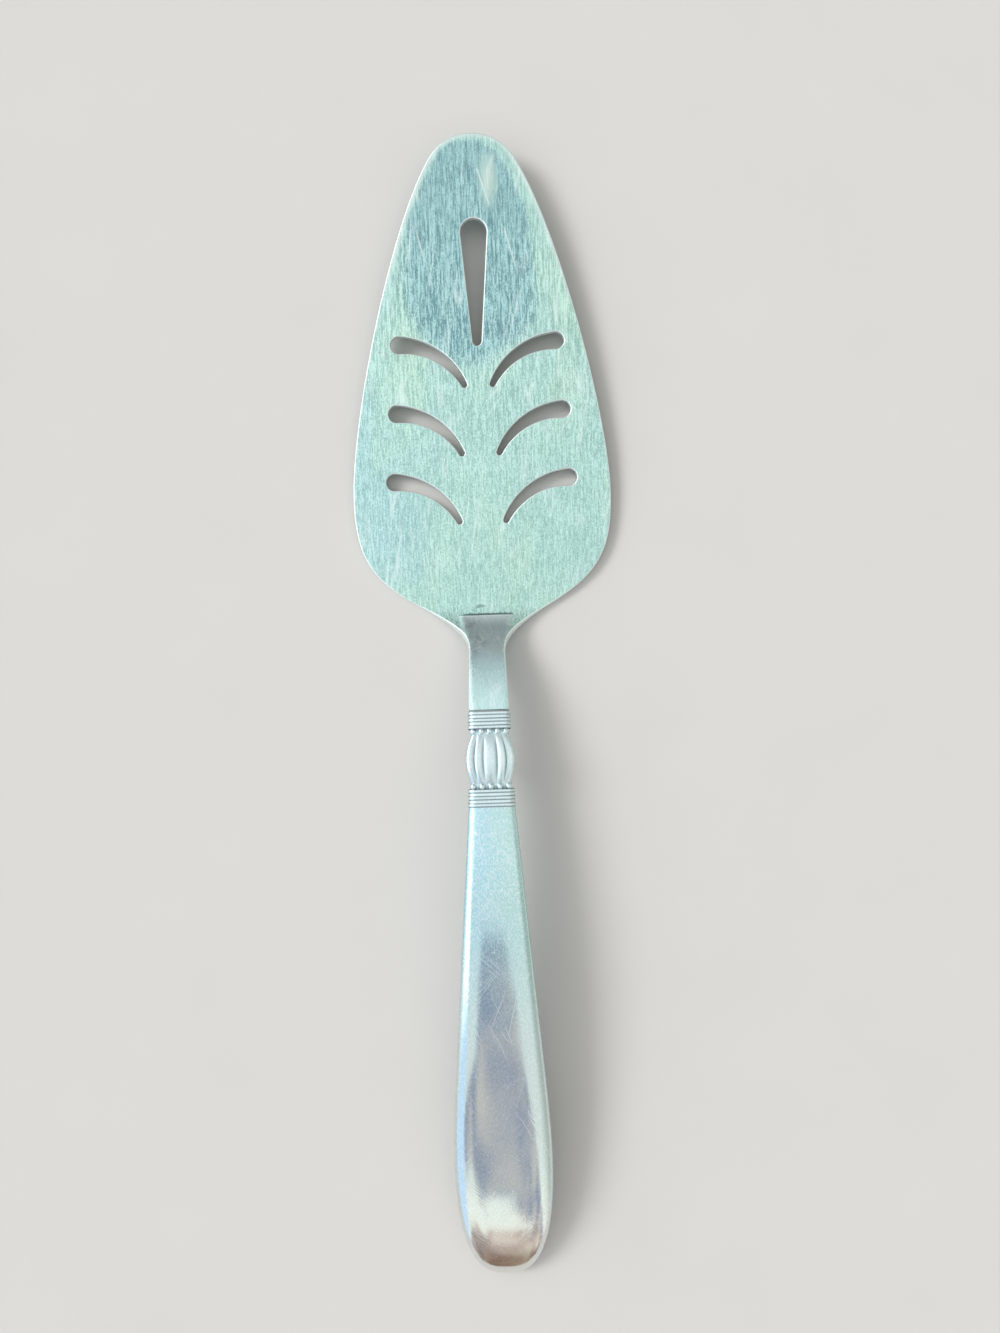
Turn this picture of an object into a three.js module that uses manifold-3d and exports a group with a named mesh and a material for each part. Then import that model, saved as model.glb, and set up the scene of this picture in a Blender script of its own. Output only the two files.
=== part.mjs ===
// A pie server with a slotted blade and a hollow handle, in millimetres, with +Z up and +Y towards the tip.
// It lies as it does on a table, on its heel and its butt, with the tip a little raised.
import * as THREE from "three";
import { mergeVertices } from "three/addons/utils/BufferGeometryUtils.js";
import Module from "manifold-3d";

const wasm = await Module();
wasm.setup();

// Outline of the blade, from the tip to the line where its heel starts to bend up, with angles in degrees
const BLADE_LENGTH = 103.3;
const BLADE_WIDTH = 58.3;
const BLADE_THICKNESS = 1.5;
const NOSE_RADIUS = 11.2;
const NOSE_SWEEP = 58;
const NOSE_PULL = 18;
const WIDEST_AHEAD = 23.3;
const WIDEST_PULL = 16;
const CORNER_PULL = 13;
const HEEL_BEHIND = 1.5;
const HEEL_WIDTH = 29.8;
const HEEL_ANGLE = 60;
const HEEL_PULL = 10.5;
const WAIST_BEHIND = 12.5;
const WAIST_WIDTH = 8;
const WAIST_PULL = 3.8;
const SHOULDER_WIDTH = 8.9;

// Slot on the middle line of the blade, wide at the end next to the tip
const TIP_SLOT_FROM_TIP = 18.55;
const TIP_SLOT_LENGTH = 28;
const TIP_SLOT_WIDE_RADIUS = 2.95;
const TIP_SLOT_NARROW_RADIUS = 1;

// Curved leaf slots, in pairs that move outwards row by row and end at a margin inside the widest edge
const LEAF_ROWS = 3;
const LEAF_FROM_TIP = 55.15;
const LEAF_PITCH = 15.25;
const LEAF_INNER_X = 3.2;
const LEAF_STEP_OUT = 1.05;
const LEAF_SIDE_MARGIN = 11.55;
const LEAF_SAG = 2.4;
const LEAF_LEAN = 32.6;
const LEAF_INNER_RADIUS = 0.65;
const LEAF_OUTER_RADIUS = 1.9;

// Neck: it bends up from the heel and levels out at the mouth of the handle
const HEEL_BEND_RADIUS = 12;
const NECK_RISE = 38;
const NECK_ARC_RADIUS = 41.2;
const MOUTH_RISE = 11;
const NECK_THICKNESS = 3.6;
const PAD_BEHIND = 4.1;
const PAD_WIDTH = 12.4;
const PAD_STEP = 0.35;
const TANG_WIDTH = 5;
const TANG_THICKNESS = 1.6;
const TANG_LENGTH = 38;

// Handle, measured back from its mouth along its arch
const HANDLE_LENGTH = 128.8;
const HANDLE_ARCH_RADIUS = 315;
const MOUTH_WIDTH = 9;
const GRIP_START_WIDTH = 10.1;
const GRIP_TAPER = 4.66;
const COLLAR_HEIGHT = 5.2;
const HEIGHT_TAPER = 1;
const BUTT_ROUND_LENGTH = 50;
const BUTT_ROUND_POWER = 2.45;
const BUTT_CROWN_LENGTH = 26;
const BUTT_CROWN_POWER = 2.2;
const MOUTH_SQUARENESS = 5;
const BUTT_SQUARENESS = 2.9;
const SHELL_WALL = 0.8;
const MOUTH_WALL = 1.2;

// Ornament below the mouth: a lobed knop between two rows of beads and two sets of rings
const KNOP_LENGTH = 10.8;
const KNOP_INSET = 0.55;
const KNOP_BULGE = 1.65;
const KNOP_HEIGHT_SHARE = 0.6;
const LOBE_DEPTH = 0.5;
const LOBE_INNER_EDGE = 0.28;
const LOBE_OUTER_EDGE = 0.645;
const BEADS_PER_ROW = 5;
const BEAD_FROM_KNOP = 5.86;
const BEAD_RADIUS = 0.75;
const BEAD_SPREAD = 0.87;
const RINGS_PER_SIDE = 3;
const RING_FROM_KNOP = 6.83;
const RING_PITCH = 1.5;
const RING_WIDTH = 0.75;
const RING_CROWN = 0.4;
const RING_HEIGHT = 0.16;
const RING_WALL = 0.03;
const MOUTH_LIP = 0.08;

// Joints between the pieces
const SEAM_GAP = 0.3;
const MOUTH_GAP = 0.3;
const SOLDER_CLEARANCE = 0.05;
const SOLDER_RECESS = 0.12;
const TANG_CLEARANCE = 0.1;
const CEMENT_CLEARANCE = 0.1;

// Smoothness of the curves
const OUTLINE_STEPS = 10;
const SLOT_STEPS = 8;
const ARC_STEPS = 10;
const KNOP_STEPS = 10;
const GRIP_STEPS = 6;
const BUTT_STEPS = 11;
const HALF_RING_STEPS = 24;
const CAVITY_RING_STEPS = 24;
const BEAD_DETAIL = 1;
const SETTLE_STEPS = 4;

const radians = THREE.MathUtils.degToRad;
const lerp = THREE.MathUtils.lerp;
const range = (count) => Array.from({ length: count }, (_, i) => i);
const steps = (from, to, count) => range(count + 1).map((i) => lerp(from, to, i / count));

// Solids

function solidOf(geometry) {
  geometry.deleteAttribute("normal");
  geometry.deleteAttribute("uv");
  const merged = mergeVertices(geometry);
  const vertProperties = merged.getAttribute("position").array;
  const triVerts = new Uint32Array(merged.index.array);
  return new wasm.Manifold(new wasm.Mesh({ numProp: 3, vertProperties, triVerts }));
}

function geometryOf(solid) {
  const mesh = solid.getMesh();
  const geometry = new THREE.BufferGeometry();
  geometry.setAttribute("position", new THREE.BufferAttribute(mesh.vertProperties, 3));
  geometry.setIndex(new THREE.BufferAttribute(mesh.triVerts, 1));
  geometry.computeVertexNormals();
  return geometry;
}

// A closed solid skinned over rings, anticlockwise seen from the mouth, and closed to a point at each end.
function skin(rings, startPoint, endPoint) {
  const around = rings[0].length;
  const points = [...rings.flat(), startPoint, endPoint];
  const start = points.length - 2;
  const end = points.length - 1;
  const last = (rings.length - 1) * around;
  const triangles = [];
  for (const j of range(around)) {
    const next = (j + 1) % around;
    triangles.push(start, next, j);
    triangles.push(end, last + j, last + next);
    for (const i of range(rings.length - 1)) {
      const near = i * around;
      const far = near + around;
      triangles.push(near + j, near + next, far + next);
      triangles.push(near + j, far + next, far + j);
    }
  }
  const geometry = new THREE.BufferGeometry().setFromPoints(points);
  geometry.setIndex(triangles);
  return solidOf(geometry);
}

// A flat plan shape pulled straight up through the whole height of the server.
function planPrism(shape, curveSegments) {
  const reach = HANDLE_LENGTH;
  const geometry = new THREE.ExtrudeGeometry(shape, { depth: 2 * reach, bevelEnabled: false, curveSegments });
  geometry.translate(0, 0, -reach);
  return solidOf(geometry);
}

// Centre line of the server seen from the side, as arcs that follow one another back from the heel

const bendLength = HEEL_BEND_RADIUS * radians(NECK_RISE);
const neckLength = NECK_ARC_RADIUS * radians(NECK_RISE - MOUTH_RISE);
const mouthAt = bendLength + neckLength;
const neckEnd = mouthAt - MOUTH_GAP;
const centreArcs = [
  { length: bendLength, curvature: 1 / HEEL_BEND_RADIUS },
  { length: neckLength, curvature: -1 / NECK_ARC_RADIUS },
  { length: HANDLE_LENGTH, curvature: -1 / HANDLE_ARCH_RADIUS },
];

// A point above the centre line, at a distance behind the heel (ahead of it when negative).
function place(distance, x, above) {
  let y = -Math.min(distance, 0);
  let z = BLADE_THICKNESS / 2;
  let slope = 0;
  let left = Math.max(distance, 0);
  for (const { length, curvature } of centreArcs) {
    const run = Math.min(left, length);
    const turned = slope + run * curvature;
    y -= (Math.sin(turned) - Math.sin(slope)) / curvature;
    z -= (Math.cos(turned) - Math.cos(slope)) / curvature;
    slope = turned;
    left -= run;
  }
  return new THREE.Vector3(x, y + above * Math.sin(slope), z + above * Math.cos(slope));
}

// A slab across the server between two lines that follow the centre line, given as heights above it.
function sideSlab(distances, upper, lower, width) {
  const top = distances.map((d) => place(d, 0, upper(d)));
  const bottom = distances.map((d) => place(d, 0, lower(d))).reverse();
  const shape = new THREE.Shape([...top, ...bottom].map((p) => new THREE.Vector2(p.y, p.z)));
  const geometry = new THREE.ExtrudeGeometry(shape, { depth: width, bevelEnabled: false });
  const upright = new THREE.Matrix4().makeBasis(
    new THREE.Vector3(0, 1, 0),
    new THREE.Vector3(0, 0, 1),
    new THREE.Vector3(1, 0, 0),
  );
  geometry.applyMatrix4(upright);
  geometry.translate(-width / 2, 0, 0);
  return solidOf(geometry);
}

// Blade

// Places on the blade, by their distance back from the tip or behind the heel.
const fromTip = (x, distance) => new THREE.Vector2(x, BLADE_LENGTH - distance);
const behindHeel = (x, distance) => new THREE.Vector2(x, -distance);
const mouthBehind = -place(mouthAt, 0, 0).y;

// Half the thickness of the sheet, which grows along the neck.
function halfThickness(distance) {
  const grown = THREE.MathUtils.smoothstep(distance, 0, neckEnd);
  return lerp(BLADE_THICKNESS, NECK_THICKNESS, grown) / 2;
}

function bladeSide() {
  const sweep = radians(NOSE_SWEEP);
  const noseCentreY = BLADE_LENGTH - NOSE_RADIUS;
  const quarter = Math.PI / 2;
  const nose = new THREE.EllipseCurve(0, noseCentreY, NOSE_RADIUS, NOSE_RADIUS);
  nose.aStartAngle = quarter;
  nose.aEndAngle = quarter - sweep;
  nose.aClockwise = true;
  const noseEnd = nose.getPoint(1);
  const noseWay = new THREE.Vector2(Math.cos(sweep), -Math.sin(sweep));
  const widest = behindHeel(BLADE_WIDTH / 2, -WIDEST_AHEAD);
  const heel = behindHeel(HEEL_WIDTH / 2, HEEL_BEHIND);
  const heelWay = new THREE.Vector2(-Math.sin(radians(HEEL_ANGLE)), -Math.cos(radians(HEEL_ANGLE)));
  const waist = behindHeel(WAIST_WIDTH / 2, WAIST_BEHIND);
  const back = new THREE.Vector2(0, -1);
  const pulled = (point, way, pull) => point.clone().addScaledVector(way, pull);
  const curve = (from, leave, arrive, to) => new THREE.CubicBezierCurve(from, leave, arrive, to);

  const side = new THREE.CurvePath();
  side.add(nose);
  side.add(curve(noseEnd, pulled(noseEnd, noseWay, NOSE_PULL), pulled(widest, back, -WIDEST_PULL), widest));
  side.add(curve(widest, pulled(widest, back, CORNER_PULL), pulled(heel, heelWay, -CORNER_PULL), heel));
  side.add(curve(heel, pulled(heel, heelWay, HEEL_PULL), pulled(waist, back, -WAIST_PULL), waist));
  side.add(new THREE.LineCurve(waist, behindHeel(SHOULDER_WIDTH / 2, mouthBehind)));
  return side.getPoints(OUTLINE_STEPS);
}

function tipSlot() {
  const wideY = BLADE_LENGTH - TIP_SLOT_FROM_TIP - TIP_SLOT_WIDE_RADIUS;
  const narrowY = BLADE_LENGTH - TIP_SLOT_FROM_TIP - TIP_SLOT_LENGTH + TIP_SLOT_NARROW_RADIUS;
  const lean = Math.asin((TIP_SLOT_WIDE_RADIUS - TIP_SLOT_NARROW_RADIUS) / (wideY - narrowY));
  const slot = new THREE.Path();
  slot.absarc(0, wideY, TIP_SLOT_WIDE_RADIUS, -lean, Math.PI + lean, false);
  slot.absarc(0, narrowY, TIP_SLOT_NARROW_RADIUS, Math.PI + lean, 2 * Math.PI - lean, false);
  return slot;
}

// A slot that widens outwards along an arc, on the right (side 1) or the left (side -1).
function leafSlot(row, side) {
  const chord = (BLADE_WIDTH / 2 - LEAF_SIDE_MARGIN - LEAF_INNER_X) / Math.cos(radians(LEAF_LEAN));
  const arcRadius = (chord ** 2 / 4 + LEAF_SAG ** 2) / (2 * LEAF_SAG);
  const half = Math.asin(chord / (2 * arcRadius));
  const centre = new THREE.Vector2(chord / 2, LEAF_SAG - arcRadius);
  const onArc = (t, offset) => {
    const angle = Math.PI / 2 + half * (1 - 2 * t);
    const way = new THREE.Vector2(Math.cos(angle), Math.sin(angle));
    return way.multiplyScalar(arcRadius + offset).add(centre);
  };
  const halfWidth = (t) => lerp(LEAF_INNER_RADIUS, LEAF_OUTER_RADIUS, t);
  const along = steps(0, 1, SLOT_STEPS);
  const roundEnd = (t, from) =>
    steps(0, Math.PI, SLOT_STEPS)
      .slice(1, -1)
      .map((turn) => onArc(t, halfWidth(t)).rotateAround(onArc(t, 0), from - turn));
  const points = [
    ...along.map((t) => onArc(t, halfWidth(t))),
    ...roundEnd(1, 0),
    ...along.map((t) => onArc(t, -halfWidth(t))).reverse(),
    ...roundEnd(0, Math.PI),
  ];
  const inner = fromTip(LEAF_INNER_X + row * LEAF_STEP_OUT, LEAF_FROM_TIP + row * LEAF_PITCH);
  const origin = new THREE.Vector2();
  const placed = points.map((p) => p.rotateAround(origin, radians(LEAF_LEAN)).add(inner));
  return new THREE.Path(placed.map((p) => new THREE.Vector2(side * p.x, p.y)));
}

function bladeSolid() {
  const right = bladeSide();
  const left = right.slice(1).map((p) => new THREE.Vector2(-p.x, p.y));
  const outline = new THREE.Shape([...left, ...right.reverse()]);
  outline.holes.push(tipSlot());
  for (const row of range(LEAF_ROWS)) outline.holes.push(leafSlot(row, 1), leafSlot(row, -1));

  const neckSteps = [...steps(0, bendLength, ARC_STEPS), ...steps(bendLength, neckEnd, ARC_STEPS).slice(1)];
  const sheet = sideSlab(
    [-BLADE_LENGTH - NOSE_RADIUS, ...neckSteps],
    halfThickness,
    (d) => -halfThickness(d),
    BLADE_WIDTH + NOSE_RADIUS,
  );

  const padSteps = [PAD_BEHIND, ...neckSteps.filter((d) => d > PAD_BEHIND)];
  const padPlan = new THREE.Shape([
    behindHeel(-PAD_WIDTH / 2, 0),
    behindHeel(-SHOULDER_WIDTH / 2, mouthBehind + SHOULDER_WIDTH),
    behindHeel(SHOULDER_WIDTH / 2, mouthBehind + SHOULDER_WIDTH),
    behindHeel(PAD_WIDTH / 2, 0),
  ]);
  const pad = sideSlab(padSteps, (d) => halfThickness(d) + PAD_STEP, () => 0, BLADE_WIDTH).intersect(
    planPrism(padPlan, 1),
  );
  const flat = planPrism(outline, SLOT_STEPS).intersect(sheet.add(pad));
  return flat.add(tangSolid(0));
}

// The tang, grown all round by a clearance where it is used to cut the room for it.
function tangSolid(clearance) {
  const from = mouthAt - MOUTH_GAP - BLADE_THICKNESS;
  const distances = steps(from, mouthAt + TANG_LENGTH + clearance, ARC_STEPS);
  const above = TANG_THICKNESS / 2 + clearance;
  return sideSlab(distances, () => above, () => -above, TANG_WIDTH + 2 * clearance);
}

// Handle

const lastRing = RING_FROM_KNOP + (RINGS_PER_SIDE - 1) * RING_PITCH;
const knopAt = MOUTH_LIP + RING_WIDTH / 2 + lastRing;
const ornamentEnd = knopAt + lastRing + RING_WIDTH / 2;
const insetReach = RING_FROM_KNOP - RING_WIDTH / 2;
const beadSpots = [-1, 1].map((side) => knopAt + side * BEAD_FROM_KNOP);
const ringSpots = [-1, 1].flatMap((side) =>
  range(RINGS_PER_SIDE).map((i) => knopAt + side * (RING_FROM_KNOP + i * RING_PITCH)),
);

// How much is left of a size that is rounded off towards the end of the handle.
function rounded(s, end, length, power) {
  const into = THREE.MathUtils.clamp((s - end + length) / length, 0, 1);
  return (1 - into ** power) ** (1 / power);
}

// Half the width and half the height of the handle without its ornament.
function plainSize(s, end) {
  const grip = Math.max(s - ornamentEnd, 0);
  const collar = Math.min(s / ornamentEnd, 1);
  const halfWidth = lerp(MOUTH_WIDTH, GRIP_START_WIDTH, collar) / 2 + grip * Math.tan(radians(GRIP_TAPER));
  const halfHeight = COLLAR_HEIGHT / 2 + grip * Math.tan(radians(HEIGHT_TAPER));
  return {
    halfWidth: halfWidth * rounded(s, end, BUTT_ROUND_LENGTH, BUTT_ROUND_POWER),
    halfHeight: halfHeight * rounded(s, end, BUTT_CROWN_LENGTH, BUTT_CROWN_POWER),
  };
}

// How far the ornament stands out from the plain handle.
function ornament(s) {
  const fromKnop = Math.abs(s - knopAt);
  if (fromKnop < insetReach) {
    const u = Math.min(fromKnop / (KNOP_LENGTH / 2), 1);
    return KNOP_BULGE * (1 - u * u) - KNOP_INSET;
  }
  const nearest = Math.min(...ringSpots.map((spot) => Math.abs(s - spot)));
  const slope = (RING_WIDTH - RING_CROWN) / 2;
  return RING_HEIGHT * THREE.MathUtils.clamp((RING_WIDTH / 2 - nearest) / slope, 0, 1);
}

// Depth of the valleys between the lobes of the knop, at a place across its width from 0 in the middle to 1.
function lobeGroove(s, across) {
  const u = Math.min(Math.abs(s - knopAt) / (KNOP_LENGTH / 2), 1);
  const edges = [-LOBE_INNER_EDGE, LOBE_INNER_EDGE, LOBE_OUTER_EDGE, 1];
  const right = edges.findIndex((edge) => across <= edge);
  const within = (across - edges[right - 1]) / (edges[right] - edges[right - 1]);
  return LOBE_DEPTH * (1 - u ** 4) * (2 * within - 1) ** 2;
}

// A point on the section of the handle, by its turn from the right edge.
function sectionPoint(s, turn) {
  const plain = plainSize(s, HANDLE_LENGTH);
  const squareness = lerp(MOUTH_SQUARENESS, BUTT_SQUARENESS, s / HANDLE_LENGTH);
  const across = Math.min(Math.abs(Math.cos(turn)), 1);
  const rise = (1 - across ** squareness) ** (1 / squareness);
  const stand = ornament(s) - lobeGroove(s, across);
  const x = (plain.halfWidth + stand) * Math.cos(turn);
  const above = (plain.halfHeight + stand * KNOP_HEIGHT_SHARE) * rise;
  return new THREE.Vector2(x, above);
}

// Distances from the mouth at which the handle has a section.
function handleStations() {
  const knop = steps(-KNOP_LENGTH / 2, KNOP_LENGTH / 2, KNOP_STEPS);
  const insets = [-insetReach + RING_WALL, insetReach - RING_WALL];
  const rings = ringSpots.flatMap((spot) =>
    [-RING_WIDTH, -RING_CROWN, RING_CROWN, RING_WIDTH].map((width) => spot + width / 2),
  );
  const buttStart = HANDLE_LENGTH - BUTT_ROUND_LENGTH;
  const grip = steps(ornamentEnd, buttStart, GRIP_STEPS).slice(1);
  const butt = steps(0, Math.PI / 2, BUTT_STEPS)
    .slice(1, -1)
    .map((turn) => buttStart + BUTT_ROUND_LENGTH * Math.sin(turn));
  const ornamented = [...knop, ...insets].map((offset) => knopAt + offset);
  const inOrder = [0, ...ornamented, ...rings, ...grip, ...butt].sort((a, b) => a - b);
  return inOrder.filter((s, i) => i === 0 || s - inOrder[i - 1] > RING_WALL / 2);
}

// One half of the handle as a full solid, above (side 1) or below (side -1) the seam.
function halfHandle(side) {
  const stations = handleStations();
  const turns = steps(0, Math.PI, HALF_RING_STEPS);
  const gap = SEAM_GAP / 2;
  const rings = stations.map((s) => {
    const ring = turns.map((turn) => {
      const p = sectionPoint(s, turn);
      return place(mouthAt + s, p.x, side * Math.max(p.y, gap));
    });
    return side > 0 ? ring : ring.reverse();
  });
  const start = place(mouthAt, 0, (side * COLLAR_HEIGHT) / 4);
  const end = place(mouthAt + HANDLE_LENGTH, 0, side * gap);
  return addBeads(skin(rings, start, end), side);
}

function addBeads(solid, side) {
  let beaded = solid;
  for (const s of beadSpots)
    for (const i of range(BEADS_PER_ROW)) {
      const across = BEAD_SPREAD * (1 - (2 * i) / (BEADS_PER_ROW - 1));
      const p = sectionPoint(s, Math.acos(across));
      const bead = new THREE.IcosahedronGeometry(BEAD_RADIUS, BEAD_DETAIL);
      const spot = place(mouthAt + s, p.x, side * p.y);
      bead.translate(spot.x, spot.y, spot.z);
      beaded = beaded.add(solidOf(bead));
    }
  return beaded;
}

// The hollow of the handle, shrunk by a clearance for what fills it.
function hollowSolid(clearance) {
  const wall = SHELL_WALL + clearance;
  const start = MOUTH_WALL + clearance;
  const end = HANDLE_LENGTH - wall;
  const buttStart = end - BUTT_ROUND_LENGTH;
  const butt = steps(0, Math.PI / 2, BUTT_STEPS)
    .slice(1, -1)
    .map((turn) => buttStart + BUTT_ROUND_LENGTH * Math.sin(turn));
  const grip = steps(ornamentEnd + 2 * KNOP_INSET, buttStart, GRIP_STEPS);
  const stations = [start, ornamentEnd, ...grip, ...butt];
  const rings = stations.map((s) => {
    const plain = plainSize(s, end);
    const inset = s <= ornamentEnd ? KNOP_INSET : 0;
    const halfWidth = Math.max(plain.halfWidth - wall - inset, plain.halfWidth / 4);
    const halfHeight = Math.max(plain.halfHeight - wall - inset * KNOP_HEIGHT_SHARE, plain.halfHeight / 4);
    return range(CAVITY_RING_STEPS).map((i) => {
      const turn = (2 * Math.PI * i) / CAVITY_RING_STEPS;
      return place(mouthAt + s, halfWidth * Math.cos(turn), halfHeight * Math.sin(turn));
    });
  });
  return skin(rings, place(mouthAt + start, 0, 0), place(mouthAt + end, 0, 0));
}

// The strip of solder along the rims of the shells.
function seamSolid() {
  const half = SEAM_GAP / 2 - SOLDER_CLEARANCE;
  const rings = handleStations().map((s) => {
    const edge = sectionPoint(s, 0).x;
    const reach = Math.max(edge - SOLDER_RECESS, edge / 2);
    return [
      place(mouthAt + s, reach, -half),
      place(mouthAt + s, reach, half),
      place(mouthAt + s, -reach, half),
      place(mouthAt + s, -reach, -half),
    ];
  });
  const end = mouthAt + HANDLE_LENGTH - SOLDER_RECESS;
  return skin(rings, place(mouthAt, 0, 0), place(end, 0, 0));
}

// The plate of solder between the shoulder of the neck and the mouth.
function mouthSolid() {
  const half = NECK_THICKNESS / 2;
  const distances = [neckEnd + SOLDER_CLEARANCE, mouthAt - SOLDER_CLEARANCE];
  return sideSlab(distances, () => half, () => -half, SHOULDER_WIDTH - 2 * SOLDER_RECESS);
}

// Pieces

const steel = { color: 0xc9d2cf, roughness: 0.3, metalness: 1 };
const solder = { color: 0xb9b7ac, roughness: 0.45, metalness: 1 };
const cement = { color: 0x8d8578, roughness: 0.9, metalness: 0 };

function piece(name, solid, look) {
  const mesh = new THREE.Mesh(geometryOf(solid), new THREE.MeshStandardMaterial(look));
  mesh.name = name;
  return mesh;
}

const hollow = hollowSolid(0);
const tangRoom = tangSolid(TANG_CLEARANCE);
const server = new THREE.Group();
server.name = "pie_server";
server.add(
  piece("blade", bladeSolid(), steel),
  piece("upper_handle_shell", halfHandle(1).subtract(hollow).subtract(tangRoom), steel),
  piece("lower_handle_shell", halfHandle(-1).subtract(hollow).subtract(tangRoom), steel),
  piece("seam_solder", seamSolid().subtract(hollow).subtract(tangRoom), solder),
  piece("mouth_solder", mouthSolid().subtract(tangRoom), solder),
  piece("handle_cement", hollowSolid(CEMENT_CLEARANCE).subtract(tangRoom), cement),
);

// Turned until the heel and the butt both touch the table, then set over the origin.
const heelUnder = steps(0, bendLength, ARC_STEPS).map((d) => place(d, 0, -halfThickness(d)));
const handleUnder = handleStations().map((s) => place(mouthAt + s, 0, -sectionPoint(s, Math.PI / 2).y));
const heightAt = (p, tilt) => p.y * Math.sin(tilt) + p.z * Math.cos(tilt);
let restTilt = 0;
for (const _ of range(SETTLE_STEPS)) {
  const touch = heelUnder.reduce((low, p) => (heightAt(p, restTilt) < heightAt(low, restTilt) ? p : low));
  restTilt = Math.min(...handleUnder.map((p) => Math.atan2(p.z - touch.z, touch.y - p.y)));
}
server.rotation.x = restTilt;
server.updateMatrixWorld(true);
const bounds = new THREE.Box3().setFromObject(server, true);
const middle = bounds.getCenter(new THREE.Vector3());
server.position.set(-middle.x, -middle.y, -bounds.min.z);

const part = new THREE.Group();
part.name = "part";
part.add(server);

export default part;
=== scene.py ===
"""A pie server on a pale table: a slotted brushed blade and a hollow handle with a lobed knop."""

import functools
import logging
import math
from dataclasses import dataclass, field
from enum import Enum

import bmesh
import bpy
import numpy as np
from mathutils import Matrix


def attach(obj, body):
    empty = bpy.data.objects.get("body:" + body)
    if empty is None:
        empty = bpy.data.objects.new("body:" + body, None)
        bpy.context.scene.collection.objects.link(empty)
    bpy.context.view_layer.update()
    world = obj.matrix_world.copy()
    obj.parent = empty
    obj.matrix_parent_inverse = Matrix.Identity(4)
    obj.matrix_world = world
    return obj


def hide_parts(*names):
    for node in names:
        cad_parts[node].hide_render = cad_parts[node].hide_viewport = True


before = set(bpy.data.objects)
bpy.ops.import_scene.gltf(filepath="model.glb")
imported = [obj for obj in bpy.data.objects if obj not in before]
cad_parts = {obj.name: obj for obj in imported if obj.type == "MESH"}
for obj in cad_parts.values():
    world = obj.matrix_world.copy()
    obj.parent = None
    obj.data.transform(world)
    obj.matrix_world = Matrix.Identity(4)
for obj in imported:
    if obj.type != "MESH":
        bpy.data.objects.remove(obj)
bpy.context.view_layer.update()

LOG = logging.getLogger("pie_server")
MILLIMETRES_PER_METRE = 1000.0
# A face counts as square to an axis when its normal has at least this share along it.
SQUARE = 0.999
NOISE_AVERAGE = 0.5

Colour = tuple[float, float, float, float]
Triple = tuple[float, float, float]
Span = tuple[float, float]
Stops = tuple[tuple[float, Colour], ...]


class Half(Enum):
    """The two halves of the handle, by the side of the seam on which they lie."""

    UPPER = 1
    LOWER = -1


class Axis(Enum):
    """Directions in which a flat blank is cut."""

    ACROSS = (1.0, 0.0, 0.0)
    ALONG = (0.0, 1.0, 0.0)


# Shader maths


class Signal:
    """One value in a node tree, whose arithmetic adds Math nodes."""

    def __init__(self, graph: "Graph", socket: bpy.types.NodeSocket | None) -> None:
        """Wraps an output socket of a graph, or none for a node that ends it."""
        self.graph = graph
        self.socket = socket

    def __add__(self, other: "Signal | float") -> "Signal":
        """Sum of two values."""
        return self.graph.math("ADD", self, other)

    def __radd__(self, other: float) -> "Signal":
        """Sum of a number and a value."""
        return self.graph.math("ADD", other, self)

    def __sub__(self, other: "Signal | float") -> "Signal":
        """Difference of two values."""
        return self.graph.math("SUBTRACT", self, other)

    def __rsub__(self, other: float) -> "Signal":
        """A number less a value."""
        return self.graph.math("SUBTRACT", other, self)

    def __mul__(self, other: "Signal | float") -> "Signal":
        """Product of two values."""
        return self.graph.math("MULTIPLY", self, other)

    def __rmul__(self, other: float) -> "Signal":
        """Product of a number and a value."""
        return self.graph.math("MULTIPLY", other, self)

    def __truediv__(self, other: "Signal | float") -> "Signal":
        """Quotient of two values."""
        return self.graph.math("DIVIDE", self, other)

    def __pow__(self, power: float) -> "Signal":
        """A value raised to a number."""
        return self.graph.math("POWER", self, power)

    def __abs__(self) -> "Signal":
        """A value without its sign."""
        return self.graph.math("ABSOLUTE", self)

    @property
    def swing(self) -> "Signal":
        """How far a noise is above or below its average."""
        return self - NOISE_AVERAGE

    def largest(self, other: "Signal | float") -> "Signal":
        """The larger of two values."""
        return self.graph.math("MAXIMUM", self, other)

    def rise(self, low: float, high: float) -> "Signal":
        """A smooth step from 0 at low to 1 at high."""
        sockets = {"Value": self, "From Min": low, "From Max": high}
        return self.graph.node("ShaderNodeMapRange", {"interpolation_type": "SMOOTHSTEP"}, sockets)


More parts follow.
